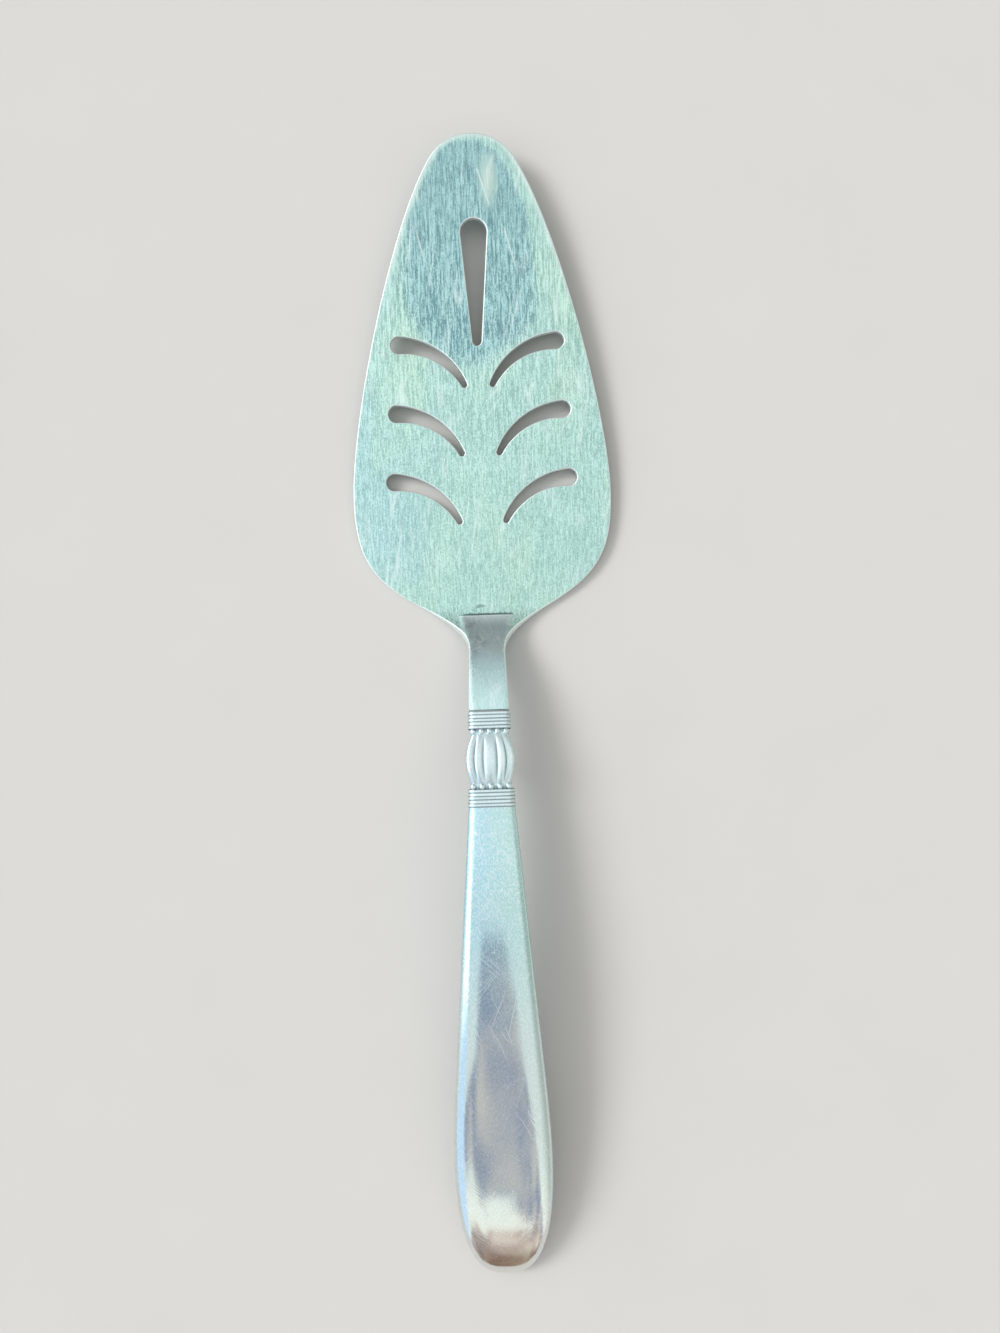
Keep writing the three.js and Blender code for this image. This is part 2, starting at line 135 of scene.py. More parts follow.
class Graph:
    """A node tree written as Python expressions."""

    def __init__(self, tree: bpy.types.NodeTree) -> None:
        """Starts from an empty tree."""
        self.tree = tree
        self.tree.nodes.clear()

    def node(
        self,
        kind: str,
        settings: dict[str, object],
        sockets: dict[str | int, object],
        output: str | int = 0,
    ) -> Signal:
        """Adds a node.

        Args:
            kind: The node's type.
            settings: Its properties, which are set first; "stops" holds a ramp's places and colours.
            sockets: Values or signals for its inputs, by name or number.
            output: The output that is returned.

        Returns:
            The chosen output as a signal.
        """
        made = self.tree.nodes.new(kind)
        for name, value in settings.items():
            if name == "stops":
                self._set_stops(made.color_ramp, value)
            else:
                setattr(made, name, value)
        for key, value in sockets.items():
            if isinstance(value, Signal):
                self.tree.links.new(value.socket, made.inputs[key])
            else:
                made.inputs[key].default_value = value
        return Signal(self, made.outputs[output] if made.outputs else None)

    @staticmethod
    def _set_stops(ramp: bpy.types.ColorRamp, stops: Stops) -> None:
        """Gives a ramp its stops.

        Args:
            ramp: A new ramp, which has two stops.
            stops: Places from 0 to 1 with their colours, in order.
        """
        while len(ramp.elements) < len(stops):
            ramp.elements.new(1.0)
        for element, (place, colour) in zip(ramp.elements, stops):
            element.position = place
            element.color = colour

    def math(self, operation: str, *values: Signal | float) -> Signal:
        """A Math node on one or two values."""
        return self.node("ShaderNodeMath", {"operation": operation}, dict(enumerate(values)))

    def mix(self, low: Signal | Colour, high: Signal | Colour, share: Signal | float) -> Signal:
        """A colour between two others, by the share of the second."""
        settings = {"data_type": "RGBA", "clamp_factor": True}
        return self.node("ShaderNodeMix", settings, {0: share, 6: low, 7: high}, 2)

    def tint(self, colour: Signal, tint: Colour, share: Signal | float) -> Signal:
        """A colour multiplied by a tint, by the share of the tint."""
        settings = {"data_type": "RGBA", "blend_type": "MULTIPLY", "clamp_factor": True}
        return self.node("ShaderNodeMix", settings, {0: share, 6: colour, 7: tint}, 2)

    def ramp(self, value: Signal, stops: Stops) -> Signal:
        """A colour looked up on a ramp."""
        return self.node("ShaderNodeValToRGB", {"stops": stops}, {"Fac": value})

    def place(self, scale: Triple, turn: float = 0.0, shift: Triple = (0.0, 0.0, 0.0)) -> Signal:
        """Places on the piece, stretched and turned for a pattern.

        Args:
            scale: Pattern cells per metre along X, Y and Z.
            turn: Turn about the vertical, in degrees.
            shift: Shift of the pattern, in cells.

        Returns:
            The mapped Object coordinates.
        """
        here = self.node("ShaderNodeTexCoord", {}, {}, "Object")
        rotation = (0.0, 0.0, math.radians(turn))
        turned = self.node("ShaderNodeMapping", {}, {"Vector": here, "Rotation": rotation})
        return self.node("ShaderNodeMapping", {}, {"Vector": turned, "Scale": scale, "Location": shift})

    def noise(self, place: Signal, detail: float = 2.0, rough: float = 0.5) -> Signal:
        """Noise of one cell per unit of its place."""
        sockets = {"Vector": place, "Scale": 1.0, "Detail": detail, "Roughness": rough}
        return self.node("ShaderNodeTexNoise", {}, sockets)

    def stretched(self, place: Signal, scale: Triple) -> Signal:
        """A place scaled along X, Y and Z for a pattern."""
        return self.node("ShaderNodeMapping", {}, {"Vector": place, "Scale": scale})

    def parts(self, place: Signal) -> tuple[Signal, Signal, Signal]:
        """The X, Y and Z of a place."""
        return tuple(self.node("ShaderNodeSeparateXYZ", {}, {0: place}, axis) for axis in range(3))

    def axes(self) -> tuple[Signal, Signal, Signal]:
        """The three Object coordinates of a place, in metres."""
        return self.parts(self.node("ShaderNodeTexCoord", {}, {}, "Object"))

    def trait(self, name: str) -> Signal:
        """A value that the mesh carries on its points."""
        return self.node("ShaderNodeAttribute", {"attribute_name": name}, {}, "Fac")

    def bump(self, height: Signal, strength: float, distance: float) -> Signal:
        """A normal that is tilted by a height."""
        sockets = {"Strength": strength, "Distance": distance, "Height": height}
        return self.node("ShaderNodeBump", {}, sockets)

    def surface(self, **sockets: object) -> None:
        """Ends a material with a Principled shader that has these inputs."""
        inputs = {name.replace("_", " "): value for name, value in sockets.items()}
        shader = self.node("ShaderNodeBsdfPrincipled", {}, inputs)
        self.node("ShaderNodeOutputMaterial", {}, {"Surface": shader})


def strongest(marks: list[Signal]) -> Signal:
    """The largest of several values at each place."""
    return functools.reduce(Signal.largest, marks)


def new_material(name: str) -> tuple[bpy.types.Material, Graph]:
    """A material with an empty node tree.

    Args:
        name: The material's name.

    Returns:
        The material and the graph of its nodes.
    """
    material = bpy.data.materials.new(name)
    material.use_nodes = True
    return material, Graph(material.node_tree)


# Finishes


@dataclass(frozen=True)
class ScratchSet:
    """Scratches that run the same way, drawn where a stretched noise is close to its average.

    Attributes:
        across: Cells per metre across the scratches.
        along: Cells per metre along them.
        turn: Their turn about the vertical, in degrees.
        width: How far from its average the noise may be.
        shift: Shift of the pattern, in cells.
        strength: Value on a scratch.
        patch: Cells per metre of the patches that they come in.
        patch_edge: Noise at which a patch starts and is full.
    """

    across: float
    along: float
    turn: float
    width: float
    shift: Triple
    strength: float = 1.0
    patch: Triple = (200.0, 70.0, 200.0)
    patch_edge: Span = (0.54, 0.66)

    def marks(self, graph: Graph) -> Signal:
        """The scratches, which come in patches.

        Args:
            graph: The nodes of the material.

        Returns:
            The strength on a scratch and 0 beside it.
        """
        cells = (self.across, self.along, self.across)
        lines = graph.noise(graph.place(cells, self.turn, self.shift), detail=0.0)
        patches = graph.noise(graph.place(self.patch, self.turn, self.shift), detail=1.0)
        line = (1.0 - abs(lines.swing) / self.width).largest(0.0)
        return line * patches.rise(*self.patch_edge) * self.strength


@dataclass(frozen=True)
class LongScratch:
    """One straight scratch from a place to another, in metres."""

    start: Span
    end: Span
    width: float = 0.0003
    fade_in: Span = (0.0, 0.15)
    fade_out: Span = (0.7, 1.0)

    def mark(self, x: Signal, y: Signal) -> Signal:
        """The scratch, fainter at its ends.

        Args:
            x: Place across the piece.
            y: Place along the piece.

        Returns:
            1 on the scratch and 0 beside it.
        """
        length = math.dist(self.start, self.end)
        run_x = (self.end[0] - self.start[0]) / length
        run_y = (self.end[1] - self.start[1]) / length
        off_x, off_y = x - self.start[0], y - self.start[1]
        beside = off_x * run_y - off_y * run_x
        along = (off_x * run_x + off_y * run_y) / length
        line = (1.0 - abs(beside) / self.width).largest(0.0)
        return line * along.rise(*self.fade_in) * (1.0 - along.rise(*self.fade_out))


@dataclass(frozen=True)
class Oval:
    """An egg-shaped area of a piece, in metres."""

    x: float
    y: float
    half_width: float
    ahead: float
    behind: float

    def reach(self, x: Signal, y: Signal) -> Signal:
        """How far out of the middle a place is.

        Args:
            x: Place across the piece.
            y: Place along the piece.

        Returns:
            0 in the middle and 1 on the outline.
        """
        across = (x - self.x) / self.half_width
        along = ((y - self.y) / self.ahead).largest((self.y - y) / self.behind)
        return (across * across + along * along) ** 0.5


@dataclass(frozen=True)
class BrushedSteel:
    """Pale steel brushed along the blade, greyed round the tip by a painted reflection, with rims
    lightened by burnishing and a painted highlight, a polished neck that a painted reflection lightens
    towards the mouth, and painted shade in the crease.
    """

    pale: Colour = (0.62, 0.90, 0.84, 1.0)
    deep: Colour = (0.33, 0.56, 0.52, 1.0)
    # Colours of the painted reflection that greys the tip
    tip_reflection_pale: Colour = (0.48, 0.77, 0.78, 1.0)
    tip_reflection_deep: Colour = (0.17, 0.33, 0.36, 1.0)
    glint: Colour = (0.72, 0.88, 0.76, 1.0)
    blue_tint: Colour = (0.96, 0.98, 1.05, 1.0)
    straw_tint: Colour = (1.03, 1.01, 0.95, 1.0)
    # Rims: burnished edges, lightened further by a painted highlight
    rim: Colour = (0.88, 0.97, 0.95, 1.0)
    # The neck goes from polished to polished_end towards the mouth: a painted reflection
    polished: Colour = (0.63, 0.75, 0.75, 1.0)
    polished_end: Colour = (0.63, 0.85, 0.88, 1.0)
    smudge: Colour = (0.30, 0.37, 0.40, 1.0)
    scratch: Colour = (0.86, 0.99, 0.97, 1.0)
    # Dark colour of the painted shade in the crease and of the stain
    shade_and_stain: Colour = (0.04, 0.07, 0.08, 1.0)
    # Gloss and relief
    rough: float = 0.36
    rim_rough: float = 0.5
    polished_rough: float = 0.24
    brush_rough: float = 0.3
    cloud_rough: float = 0.1
    relief: float = 0.3
    relief_height: float = 0.00003
    polished_relief_loss: float = 0.6
    scratch_relief: float = 0.4
    # Brushing, with places in metres and patterns in cells per metre
    cloud_cells: Triple = (60.0, 34.0, 60.0)
    line_cells: Triple = (2600.0, 70.0, 2600.0)
    streak_cells: Triple = (3400.0, 420.0, 3400.0)
    grain_cells: Triple = (3800.0, 2200.0, 3800.0)
    line_share: float = 0.22
    streak_share: float = 0.4
    grain_share: float = 0.38
    finer_share: float = 0.14
    finer_along: Span = (0.05, 0.1)
    brush_depth: float = 4.6
    front_depth: float = 2.0
    front_along: Span = (0.03, 0.09)
    tip_softness: float = 2.4
    tip_along: Span = (0.098, 0.112)
    cloud_depth: float = 0.5
    middle_tone: float = 0.5
    straw_clouds: Span = (0.45, 0.65)
    blue_side: Span = (-0.026, -0.01)
    blue_fray: float = 0.03
    # Tip: a painted reflection that greys it, a lighter edge band and a glint, with places in metres
    tip_reflection_area: Oval = Oval(-0.0014, 0.0943, 0.0158, 0.041, 0.017)
    tip_reflection_edge: Span = (0.82, 1.08)
    tip_reflection_fray: float = 0.3
    tip_end: float = 0.1281
    tip_curve: float = 44.6
    tip_vertex: float = 0.1302
    tip_flare: float = 0.0119
    reflection_margin_edge: Span = (-0.0019, -0.0005)
    reflection_margin_right: float = 0.0019
    reflection_margin_side: Span = (-0.006, 0.01)
    reflection_margin_fray: float = 0.002
    tip_edge: Span = (-0.0016, -0.0003)
    tip_edge_along: Span = (0.085, 0.105)
    tip_edge_share: float = 0.5
    pale_area: Oval = Oval(0.0036, 0.1178, 0.003, 0.008, 0.008)
    pale_edge: Span = (0.1, 1.0)
    pale_fray: float = 1.2
    pale_share: float = 0.6
    # Polished neck
    polish_share: float = 0.9
    polished_along: Span = (0.008, 0.015)
    smudge_cells: Triple = (380.0, 160.0, 380.0)
    smudge_turn: float = 12.0
    smudge_lean: float = 40.0
    smudge_edge: Span = (0.5, 0.85)
    smudge_lines: float = 1.2
    smudge_along: Span = (0.004, 0.016)
    smudge_share: float = 0.55
    smudge_least: float = 0.2
    # Painted shade in the crease, and the stain ahead of it
    shade_and_stain_cells: Triple = (900.0, 1500.0, 900.0)
    crease_shade_middle: float = 0.0006
    crease_shade_ends: Span = (0.0036, 0.0064)
    crease_shade_gain: float = 1.5
    crease_shade_end_loss: float = 0.9
    crease_shade_fray: float = 2.4
    crease_shade_edge: Span = (0.45, 1.1)
    crease_shade_share: float = 0.78
    stain_area: Oval = Oval(-0.0012, 0.0232, 0.0017, 0.0005, 0.0005)
    stain_edge: Span = (0.5, 1.1)
    stain_fray: float = 1.6
    stain_share: float = 0.45
    # Scratches
    scratch_sets: tuple[ScratchSet, ...] = (
        ScratchSet(520.0, 14.0, 5.0, 0.05, (3.0, 1.0, 0.0)),
        ScratchSet(560.0, 18.0, 13.0, 0.05, (11.0, 5.0, 0.0)),
        ScratchSet(480.0, 22.0, -9.0, 0.04, (17.0, 2.0, 0.0)),
        ScratchSet(300.0, 24.0, 28.0, 0.014, (23.0, 9.0, 0.0), 0.7),
    )
    scratch_share: float = 0.5
    long_scratches: tuple[LongScratch, ...] = (
        LongScratch((0.0009, 0.1212), (0.0043, 0.1106)),
        LongScratch((0.0066, 0.1081), (0.0099, 0.0962)),
        LongScratch((-0.0127, 0.1072), (-0.0112, 0.1003)),
    )
    long_strength: float = 1.3

    def material(self) -> bpy.types.Material:
        """The finish as a material.

        Returns:
            The material, which reads the traits polish, rim and crease of the blade.
        """
        material, graph = new_material("brushed_steel")
        x, y, _ = graph.axes()
        cloud = graph.noise(graph.place(self.cloud_cells), detail=3.0)
        brush = self._brushing(graph, y)
        short = strongest([each.marks(graph) for each in self.scratch_sets])
        long = strongest([each.mark(x, y) for each in self.long_scratches])
        marks = short.largest(long * self.long_strength)
        polish, rim = graph.trait("polish"), graph.trait("rim")

        steel = self._brushed(graph, x, y, cloud, brush)
        steel = graph.mix(steel, self._neck(graph, x, y, brush), polish * self.polish_share)
        steel = graph.mix(steel, self.scratch, marks * self.scratch_share)
        # Rims: burnished edges plus a painted highlight
        steel = graph.mix(steel, self.rim, rim)
        # Painted shade in the crease, and a real stain ahead of it
        steel = graph.mix(steel, self.shade_and_stain, self._crease_shade_and_stain(graph, x, y))

        rough = self.rough + brush.swing * self.brush_rough + cloud.swing * self.cloud_rough
        rough = rough + (self.polished_rough - rough) * polish
        rough = rough + (self.rim_rough - rough) * rim
        height = brush * (1.0 - polish * self.polished_relief_loss) + marks * self.scratch_relief
        graph.surface(
            Base_Color=steel,
            Metallic=1.0,
            Roughness=rough,
            Normal=graph.bump(height, self.relief, self.relief_height),
        )
        return material

    def _brushing(self, graph: Graph, y: Signal) -> Signal:
        """Hair lines, shorter streaks and grain, with more lines and less grain at the tip.

        Args:
            graph: The nodes of the material.
            y: Place along the blade.

        Returns:
            The depth of the brushing, a noise.
        """
        lines = graph.noise(graph.place(self.line_cells), detail=1.0)
        streaks = graph.noise(graph.place(self.streak_cells), detail=2.0, rough=0.6)
        grain = graph.noise(graph.place(self.grain_cells), detail=1.0)
        finer = y.rise(*self.finer_along) * self.finer_share
        drawn = lines * (finer + self.line_share) + streaks * self.streak_share
        return drawn + grain * (self.grain_share - finer)

    def _brushed(self, graph: Graph, x: Signal, y: Signal, cloud: Signal, brush: Signal) -> Signal:
        """Colour of the brushed blade, with its tip greyed by a painted reflection, a lighter edge band
        and a glint.

        Args:
            graph: The nodes of the material.
            x: Place across the blade.
            y: Place along the blade.
            cloud: Soft noise over the blade.
            brush: Depth of the brushing.

        Returns:
            The colour.
        """
        depth = self.brush_depth + y.rise(*self.front_along) * self.front_depth
        depth = depth - y.rise(*self.tip_along) * self.tip_softness
        tone = brush.swing * depth + cloud.swing * self.cloud_depth + self.middle_tone
        steel = graph.mix(self.deep, self.pale, tone)
        steel = graph.tint(steel, self.straw_tint, cloud.rise(*self.straw_clouds))
        right = (x + cloud.swing * self.blue_fray).rise(*self.blue_side)
        steel = graph.tint(steel, self.blue_tint, 1.0 - right)

        # A painted reflection greys the tip and stops short of its outline
        past = self._past_tip(x, y)
        reflection_margin = past + x.rise(*self.reflection_margin_side) * self.reflection_margin_right + brush.swing * self.reflection_margin_fray
        frayed = self.tip_reflection_area.reach(x, y) + cloud.swing * self.tip_reflection_fray + brush.swing * self.tip_reflection_fray
        reflected = (1.0 - frayed.rise(*self.tip_reflection_edge)) * (1.0 - reflection_margin.rise(*self.reflection_margin_edge))
        steel = graph.mix(steel, graph.mix(self.tip_reflection_deep, self.tip_reflection_pale, tone), reflected)
        # A band along the tip's edge in the rim colour: burnished edge plus painted highlight
        edge = past.rise(*self.tip_edge) * y.rise(*self.tip_edge_along)
        steel = graph.mix(steel, self.rim, edge * self.tip_edge_share)
        spot = 1.0 - (self.pale_area.reach(x, y) + brush.swing * self.pale_fray).rise(*self.pale_edge)
        return graph.mix(steel, self.glint, spot * self.pale_share)

    def _past_tip(self, x: Signal, y: Signal) -> Signal:
        """How far a place is past the outline of the tip, whose sides are close to a parabola.

        Args:
            x: Place across the blade.
            y: Place along the blade.

        Returns:
            The distance in metres, below 0 inside the outline.
        """
        square = x * x
        slope = (square * 4.0 + self.tip_flare**2) ** 0.5
        sides = (square - (self.tip_vertex - y) * self.tip_flare) / slope
        return sides.largest(y - self.tip_end + square * self.tip_curve)

    def _neck(self, graph: Graph, x: Signal, y: Signal, brush: Signal) -> Signal:
        """Colour of the polished neck, lightened towards the mouth by a painted reflection, with smudges
        that gather towards its left side.

        Args:
            graph: The nodes of the material.
            x: Place across the neck.
            y: Place along the neck.
            brush: Depth of the brushing.

        Returns:
            The colour.
        """
        place = graph.place(self.smudge_cells, self.smudge_turn)
        smears = graph.noise(place, detail=4.0, rough=0.65) - x * self.smudge_lean
        smudges = smears.rise(*self.smudge_edge) - brush.swing * self.smudge_lines
        # Lighter towards the mouth: a painted reflection
        steel = graph.mix(self.polished_end, self.polished, y.rise(*self.polished_along))
        share = y.rise(*self.smudge_along) * self.smudge_share + self.smudge_least
        return graph.mix(steel, self.smudge, smudges * share)

    def _crease_shade_and_stain(self, graph: Graph, x: Signal, y: Signal) -> Signal:
        """Painted shade in the crease before the neck and a small stain ahead of it.

        Args:
            graph: The nodes of the material.
            x: Place across the blade.
            y: Place along the blade.

        Returns:
            How much of the steel the painted shade and the stain hide.
        """
        broken = graph.noise(graph.place(self.shade_and_stain_cells), detail=3.0)
        ends = abs(x - self.crease_shade_middle).rise(*self.crease_shade_ends)
        filled = graph.trait("crease") * (self.crease_shade_gain - ends * self.crease_shade_end_loss)
        line = (filled + broken.swing * self.crease_shade_fray).rise(*self.crease_shade_edge)
        reach = self.stain_area.reach(x, y) + broken.swing * self.stain_fray
        stain = 1.0 - reach.rise(*self.stain_edge)
        return (line * self.crease_shade_share).largest(stain * self.stain_share)


@dataclass(frozen=True)
class PolishedSteel:
    """Silvery steel of the handle: hazy below the mouth, glossier at the grip, with tones that are
    painted reflections, painted highlights on its crests and painted shade in its hollows.
    """

    # Blue on the left, green on the right, plain then warm towards the butt: painted reflections of the
    # room
    blue: Colour = (0.45, 0.74, 0.83, 1.0)
    green: Colour = (0.50, 0.76, 0.71, 1.0)
    plain: Colour = (0.68, 0.78, 0.76, 1.0)
    warm: Colour = (0.82, 0.79, 0.73, 1.0)
    speckle: Colour = (0.80, 0.93, 1.0, 1.0)
    # Lighter colour of the painted highlight on the ornament's crests and the beads
    crest: Colour = (0.76, 0.87, 0.88, 1.0)
    # Dark colour of the painted shade in the hollows of the ornament and under the beads
    hollow: Colour = (0.15, 0.19, 0.23, 1.0)
    scratch: Colour = (0.92, 0.98, 1.0, 1.0)
    # Gloss and relief
    hazy_rough: float = 0.32
    rough: float = 0.11
    hollow_rough: float = 0.2
    crest_gloss: float = 0.03
    grain_rough: float = 0.15
    cloud_rough: float = 0.1
    crest_grain_loss: float = 0.8
    relief: float = 0.4
    relief_height: float = 0.00003
    haze_relief: float = 0.6
    grain_relief: float = 0.25
    scratch_relief: float = 0.5
    # Mouth and length of the handle in metres, and zones along it as shares of its length
    mouth: float = 0.004
    length: float = 0.132
    along_fray: float = 0.1
    haze_end: Span = (0.2, 0.36)
    plain_from: Span = (0.3, 0.65)
    warm_from: Span = (0.8, 1.0)
    # Painted reflection across the handle, blue on the left and green on the right, in metres
    green_side: Span = (-0.005, 0.006)
    green_fray: float = 0.006
    # Grain, speckles and scratches
    cloud_cells: Triple = (120.0, 80.0, 120.0)
    grain_cells: Triple = (3400.0, 1700.0, 3400.0)
    speckle_from: float = 0.44
    speckle_haze: float = 0.1
    speckle_gain: float = 3.2
    hollow_grain: float = 0.4
    hollow_share: float = 0.75
    nick_cells: Triple = (950.0, 750.0, 950.0)
    nick_edge: Span = (0.79, 0.83)
    scratch_sets: tuple[ScratchSet, ...] = (
        ScratchSet(480.0, 11.0, 15.0, 0.022, (2.0, 7.0, 0.0)),
        ScratchSet(520.0, 14.0, -24.0, 0.02, (9.0, 2.0, 0.0)),
        ScratchSet(1500.0, 80.0, 38.0, 0.06, (5.0, 3.0, 0.0), 0.7),
        ScratchSet(1600.0, 70.0, -47.0, 0.06, (4.0, 8.0, 0.0), 0.7),
    )
    scratch_share: float = 0.5

    def material(self, name: str) -> bpy.types.Material:
        """The finish as a material.

        Args:
            name: The material's name.

        Returns:
            The material, which reads the traits hollow and crest of a shell.
        """
        material, graph = new_material(name)
        x, y, _ = graph.axes()
        cloud = graph.noise(graph.place(self.cloud_cells), detail=3.0)
        grain = graph.noise(graph.place(self.grain_cells), detail=2.0, rough=0.6)
        along = (self.mouth - y) / self.length + cloud.swing * self.along_fray
        haze = 1.0 - along.rise(*self.haze_end)
        nicks = graph.noise(graph.place(self.nick_cells), detail=0.0).rise(*self.nick_edge)
        marks = strongest([each.marks(graph) for each in self.scratch_sets] + [nicks])
        hollows, crests = graph.trait("hollow"), graph.trait("crest")

        # Painted reflections: blue to the left, green to the right, plain then warm towards the butt
        right = (x + cloud.swing * self.green_fray).rise(*self.green_side)
        lower = graph.mix(self.plain, self.warm, along.rise(*self.warm_from))
        steel = graph.mix(graph.mix(self.blue, self.green, right), lower, along.rise(*self.plain_from))
        speckles = (grain - self.speckle_from).largest(0.0)
        gain = haze * self.speckle_haze + self.speckle_gain
        steel = graph.mix(steel, self.speckle, speckles * gain)
        # Painted highlight on the crests
        steel = graph.mix(steel, self.crest, crests)
        steel = graph.mix(steel, self.scratch, marks * self.scratch_share)
        # Painted shade in the hollows
        steel = graph.mix(steel, self.hollow, hollows * (grain * self.hollow_grain + self.hollow_share))

        rough = self.rough + haze * (self.hazy_rough - self.rough)
        rough = rough + hollows * self.hollow_rough - crests * self.crest_gloss
        uneven = grain * (1.0 - crests * self.crest_grain_loss)
        rough = rough + uneven.swing * self.grain_rough + cloud.swing * self.cloud_rough
        height = uneven * (haze * self.haze_relief + self.grain_relief) + marks * self.scratch_relief
        graph.surface(
            Base_Color=steel,
            Metallic=1.0,
            Roughness=rough,
            Normal=graph.bump(height, self.relief, self.relief_height),
        )
        return material


@dataclass(frozen=True)
class SilverSolder:
    """Dull solder drawn along a joint, with small ripples."""

    bright: Colour = (0.52, 0.54, 0.50, 1.0)
    dull: Colour = (0.24, 0.25, 0.23, 1.0)
    rough: float = 0.42
    ripple_cells: Triple = (1500.0, 1500.0, 1500.0)
    ripple_rough: float = 0.3
    stain_cells: Triple = (240.0, 240.0, 240.0)
    stain_edge: Span = (0.35, 0.7)
    relief: float = 0.4
    relief_height: float = 0.00005

    def material(self) -> bpy.types.Material:
        """The finish as a material.

        Returns:
            The material.
        """
        material, graph = new_material("silver_solder")
        ripple = graph.noise(graph.place(self.ripple_cells), detail=3.0, rough=0.6)
        stain = graph.noise(graph.place(self.stain_cells), detail=2.0)
        graph.surface(
            Base_Color=graph.mix(self.bright, self.dull, stain.rise(*self.stain_edge)),
            Metallic=1.0,
            Roughness=self.rough + ripple.swing * self.ripple_rough,
            Normal=graph.bump(ripple, self.relief, self.relief_height),
        )
        return material


@dataclass(frozen=True)
class HandleCement:
    """Gritty set cement that fills the handle."""

    pale: Colour = (0.36, 0.33, 0.28, 1.0)
    dark: Colour = (0.19, 0.17, 0.14, 1.0)
    rough: float = 0.88
    grit_cells: Triple = (1800.0, 1800.0, 1800.0)
    grit_share: float = 0.7
    grit_rough: float = 0.15
    lump_cells: Triple = (300.0, 300.0, 300.0)
    lump_share: float = 0.4
    relief: float = 0.6
    relief_height: float = 0.0002

    def material(self) -> bpy.types.Material:
        """The finish as a material.

        Returns:
            The material.
        """
        material, graph = new_material("handle_cement")
        grit = graph.noise(graph.place(self.grit_cells), detail=4.0, rough=0.7)
        lumps = graph.noise(graph.place(self.lump_cells), detail=2.0)
        share = grit * self.grit_share + lumps * self.lump_share
        graph.surface(
            Base_Color=graph.mix(self.dark, self.pale, share),
            Roughness=self.rough + grit.swing * self.grit_rough,
            Normal=graph.bump(grit + lumps, self.relief, self.relief_height),
        )
        return material


@dataclass(frozen=True)
class PaleTable:
    """Smooth off-white table top with a faint mottle."""

    pale: Colour = (0.55, 0.54, 0.52, 1.0)
    shade: Colour = (0.52, 0.51, 0.49, 1.0)
    rough: float = 0.7
    sheen: float = 0.12
    mottle_cells: Triple = (40.0, 40.0, 40.0)

    def material(self) -> bpy.types.Material:
        """The finish as a material.

        Returns:
            The material.
        """
        material, graph = new_material("pale_table")
        mottle = graph.noise(graph.place(self.mottle_cells), detail=4.0)
        graph.surface(
            Base_Color=graph.mix(self.pale, self.shade, mottle),
            Roughness=self.rough,
            Specular_IOR_Level=self.sheen,
        )
        return material


# Modelling


